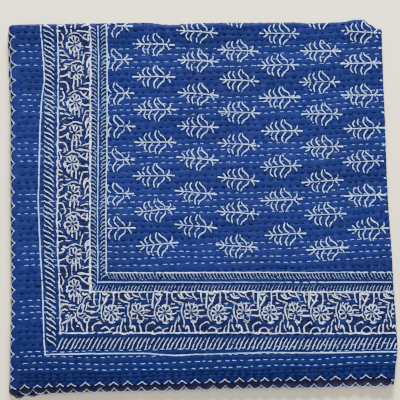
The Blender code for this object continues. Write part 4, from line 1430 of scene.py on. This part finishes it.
def lining_cotton():
    """Dark navy cotton of the back."""
    cloth = Material("dark lining")
    mottle = cloth.noise(cloth.sheet(), *LINING_MOTTLE)
    colour = cloth.mix(cloth.ramp(mottle, *GRAIN), LINING, LINING_DEEP)
    cloth.surface(colour, cloth.ramp(mottle, *GRAIN, *LINING_ROUGH))
    cloth.bump(cloth.weave(), *LINING_BUMP)
    return cloth.made


def ink(name, colour, thin, coverage, aged=None):
    """Block-printed colour, thin in places so that the cloth shows through, and aged in some."""
    paint = Material(name)
    patches = paint.noise(paint.sheet(), *INK_PATCHES)
    broad = paint.noise(paint.sheet(), *INK_BROAD)
    worn = paint.maths("ADD", paint.ramp(patches, coverage, coverage + COVER_SOFT, 0.0, COVER_WORN),
                       paint.ramp(broad, *INK_THIN))
    if aged:
        spots = paint.noise(paint.sheet(), *INK_SPOTS)
        colour = paint.mix(paint.ramp(spots, *INK_AGED), colour, aged)
    paint.surface(paint.mix(worn, colour, thin), paint.ramp(patches, *GRAIN, *INK_ROUGH))
    paint.bump(paint.weave(), *INK_BUMP)
    return paint.made


def thread(name, colour, shade):
    """Twisted cotton thread."""
    cotton = Material(name)
    fibres = cotton.noise(cotton.sheet(), *FIBRES)
    colour = cotton.mix(cotton.ramp(fibres, *FIBRE_SHADE), colour, shade)
    cotton.surface(colour, cotton.ramp(fibres, *GRAIN, *THREAD_ROUGH))
    cotton.bump(cotton.bands("DIAGONAL", TWIST, TWIST_BEND), *THREAD_BUMP)
    return cotton.made


def floor_paint():
    """Plain pale surface under the throw."""
    paint = Material("pale floor")
    place_on = paint.node("ShaderNodeTexCoord", {}).outputs["Object"]
    cloud = paint.noise(place_on, *FLOOR_CLOUD)
    paint.surface(paint.mix(paint.ramp(cloud, *GRAIN), FLOOR, FLOOR_SHADE), FLOOR_ROUGH)
    return paint.made


# ---------------------------------------------------------------- the whole throw
MAP_MARGIN = 0.016        # the map has room for this much cloth outside the even sheet
MAP_ACROSS = (0.002, 0.70, 0.998)       # its left edge, the end of what shows, its right edge
MAP_FACE = (0.002, 0.60, 0.79)          # the same up the printed face
MAP_LINING = (0.81, 0.998)              # and the lining, above


def read(items, name, width, kind):
    """Values of one property of a mesh's points, corners or faces."""
    values = np.zeros(len(items) * width, kind)
    items.foreach_get(name, values)
    return values


def bake_map(mesh, lined):
    """Unwraps the cloth on its flat sheet, with most room for the part that shows."""
    places = read(mesh.attributes["sheet"].data, "vector", 3, np.float32).reshape(-1, 3)
    corners = read(mesh.loops, "vertex_index", 1, np.int32)
    back = np.repeat(lined, read(mesh.polygons, "loop_total", 1, np.int32)) == 1
    s, t = places[corners, 0], places[corners, 1]
    u = np.interp(s, (-MAP_MARGIN, SIDE_END + FINE_MARGIN, SHEET_WIDTH + MAP_MARGIN), MAP_ACROSS)
    v = np.interp(t, (-MAP_MARGIN, TOP_END + FINE_MARGIN, SHEET_LENGTH + MAP_MARGIN), MAP_FACE)
    v_back = np.interp(t, (-MAP_MARGIN, SHEET_LENGTH + MAP_MARGIN), MAP_LINING)
    unwrapped = np.column_stack([u, np.where(back, v_back, v)]).astype(np.float32)
    mesh.uv_layers.new(name="OFBake").data.foreach_set("uv", unwrapped.ravel())


PRINT_SEEDS = {"top": 11, "under": 23}
HEM_SEED = 41


def dress():
    """Builds the cloth, its print and its threads, and hides the CAD part of the quilt."""
    cotton, lining = printed_cotton(), lining_cotton()
    white_ink = ink("white print", PRINT_WHITE, PRINT_THIN, COVERAGE["white"])
    cream_ink = ink("cream print", PRINT_CREAM, CREAM_THIN, COVERAGE["cream"], PRINT_AGED)
    navy_ink = ink("navy print", NAVY_PRINT, NAVY_THIN, COVERAGE["navy"])
    white_yarn = thread("white thread", WHITE_THREAD, WHITE_SHADE)
    navy_yarn = thread("navy thread", NAVY_THREAD, NAVY_SHADE)
    hem_yarn = thread("hem thread", HEM_WHITE, HEM_SHADE)

    for end, seed in PRINT_SEEDS.items():
        under = end == "under"
        printer = Printer(seed)
        field, border, flowers, shapes = Piece(), Piece(), Piece(), Piece()
        print_field(printer, field, under)
        print_lines(printer, border, flowers)
        print_hatches(printer, border, shapes)
        print_flowers(printer, flowers, shapes)
        for name, piece, paint in (("field", field, white_ink), ("border", border, white_ink),
                                   ("flower", flowers, cream_ink), ("navy", shapes, navy_ink)):
            fold_piece(piece, f"{name}_print_{end}", paint, under,
                                     sharp=PRINT_SHARP)
        if not under:
            marks = np.vstack(printer.marks)
        random = np.random.default_rng(seed + 1)
        for white, yarn, colour in ((True, white_yarn, "white"), (False, navy_yarn, "navy")):
            rows = Piece()
            last = LAST_ROW_UNDER if under else LAST_ROW
            tubes(rows, stitch_rows(random, white, last), STITCH_RADII[colour], STITCH_SIDES)
            fold_piece(rows, f"{colour}_stitches_{end}", yarn, under)

    random = np.random.default_rng(HEM_SEED)
    for face in ("print", "lining"):
        binding = Piece()
        for side in HEMS:
            if face == "lining" and side == "left":
                continue
            sunk = SUNK_THREAD if face == "print" else 0.0
            tubes(binding, hem_thread(random, side, HEM_TIPS[side], sunk), HEM_THREAD, HEM_SIDES)
        fold_piece(binding, "hem_thread_" + face, hem_yarn,
                                 lining=face == "lining")

    cloth = build_cloth([cotton, lining], marks)
    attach(cloth, "root")
    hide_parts("quilt")


# ---------------------------------------------------------------- floor, light and camera
FLOOR_SIZE = 8.0
FLOOR_CELLS = 8
VIEW_TILT = 7.0           # degrees between the camera's line and straight down
VIEW_ROLL = -1.0
VIEW_DISTANCE = 1.2
VIEW_CENTRE = (0.0037, 0.0054, 0.0)
LENS = 72.0
SENSOR = 36.0
LAMPS = table("name place_at size power colour", (
    ("key", (0.36, 3.50, 1.16), 1.1, 1005.0, (1.0, 0.99, 0.97)),
    ("fill", (0.6, 0.4, 2.6), 1.6, 20.0, (0.97, 0.98, 1.0)),
))
SKY = (0.98, 0.99, 1.0, 1.0)
SKY_STRENGTH = 0.85


def set_stage():
    """A pale floor, a soft key light low beyond the top fold, a fill from above and a pale sky."""
    bpy.ops.mesh.primitive_grid_add(x_subdivisions=FLOOR_CELLS, y_subdivisions=FLOOR_CELLS,
                                    size=FLOOR_SIZE)
    floor = bpy.context.object
    floor.name = "floor"
    floor.data.materials.append(floor_paint())
    for lamp in LAMPS:
        add_light(*lamp)
    world = bpy.data.worlds.new("studio")
    bpy.context.scene.world = world
    world.use_nodes = True
    sky = world.node_tree.nodes["Background"]
    sky.inputs["Color"].default_value = SKY
    sky.inputs["Strength"].default_value = SKY_STRENGTH


def add_light(name, place_at, size, power, colour):
    """A square area light that faces the throw."""
    data = bpy.data.lights.new(name, "AREA")
    data.shape = "SQUARE"
    data.size = size
    data.energy = power
    data.color = colour
    light = bpy.data.objects.new(name, data)
    light.location = place_at
    light.rotation_euler = (-Vector(place_at)).to_track_quat("-Z", "Y").to_euler()
    bpy.context.scene.collection.objects.link(light)


def set_camera():
    """The camera looks almost straight down."""
    tilt, roll = math.radians(VIEW_TILT), math.radians(VIEW_ROLL)
    right = Vector((1, 0, 0))
    up = Vector((0, math.cos(tilt), math.sin(tilt)))
    back = Vector((0, -math.sin(tilt), math.cos(tilt)))
    turned_right = right * math.cos(roll) + up * math.sin(roll)
    turned_up = up * math.cos(roll) - right * math.sin(roll)
    data = bpy.data.cameras.new("camera")
    data.lens = LENS
    data.sensor_width = SENSOR
    camera = bpy.data.objects.new("camera", data)
    camera.matrix_world = Matrix.Translation(Vector(VIEW_CENTRE) + back * VIEW_DISTANCE) @ Matrix(
        (turned_right, turned_up, back)).transposed().to_4x4()
    bpy.context.scene.collection.objects.link(camera)
    bpy.context.scene.camera = camera


dress()
set_stage()
set_camera()
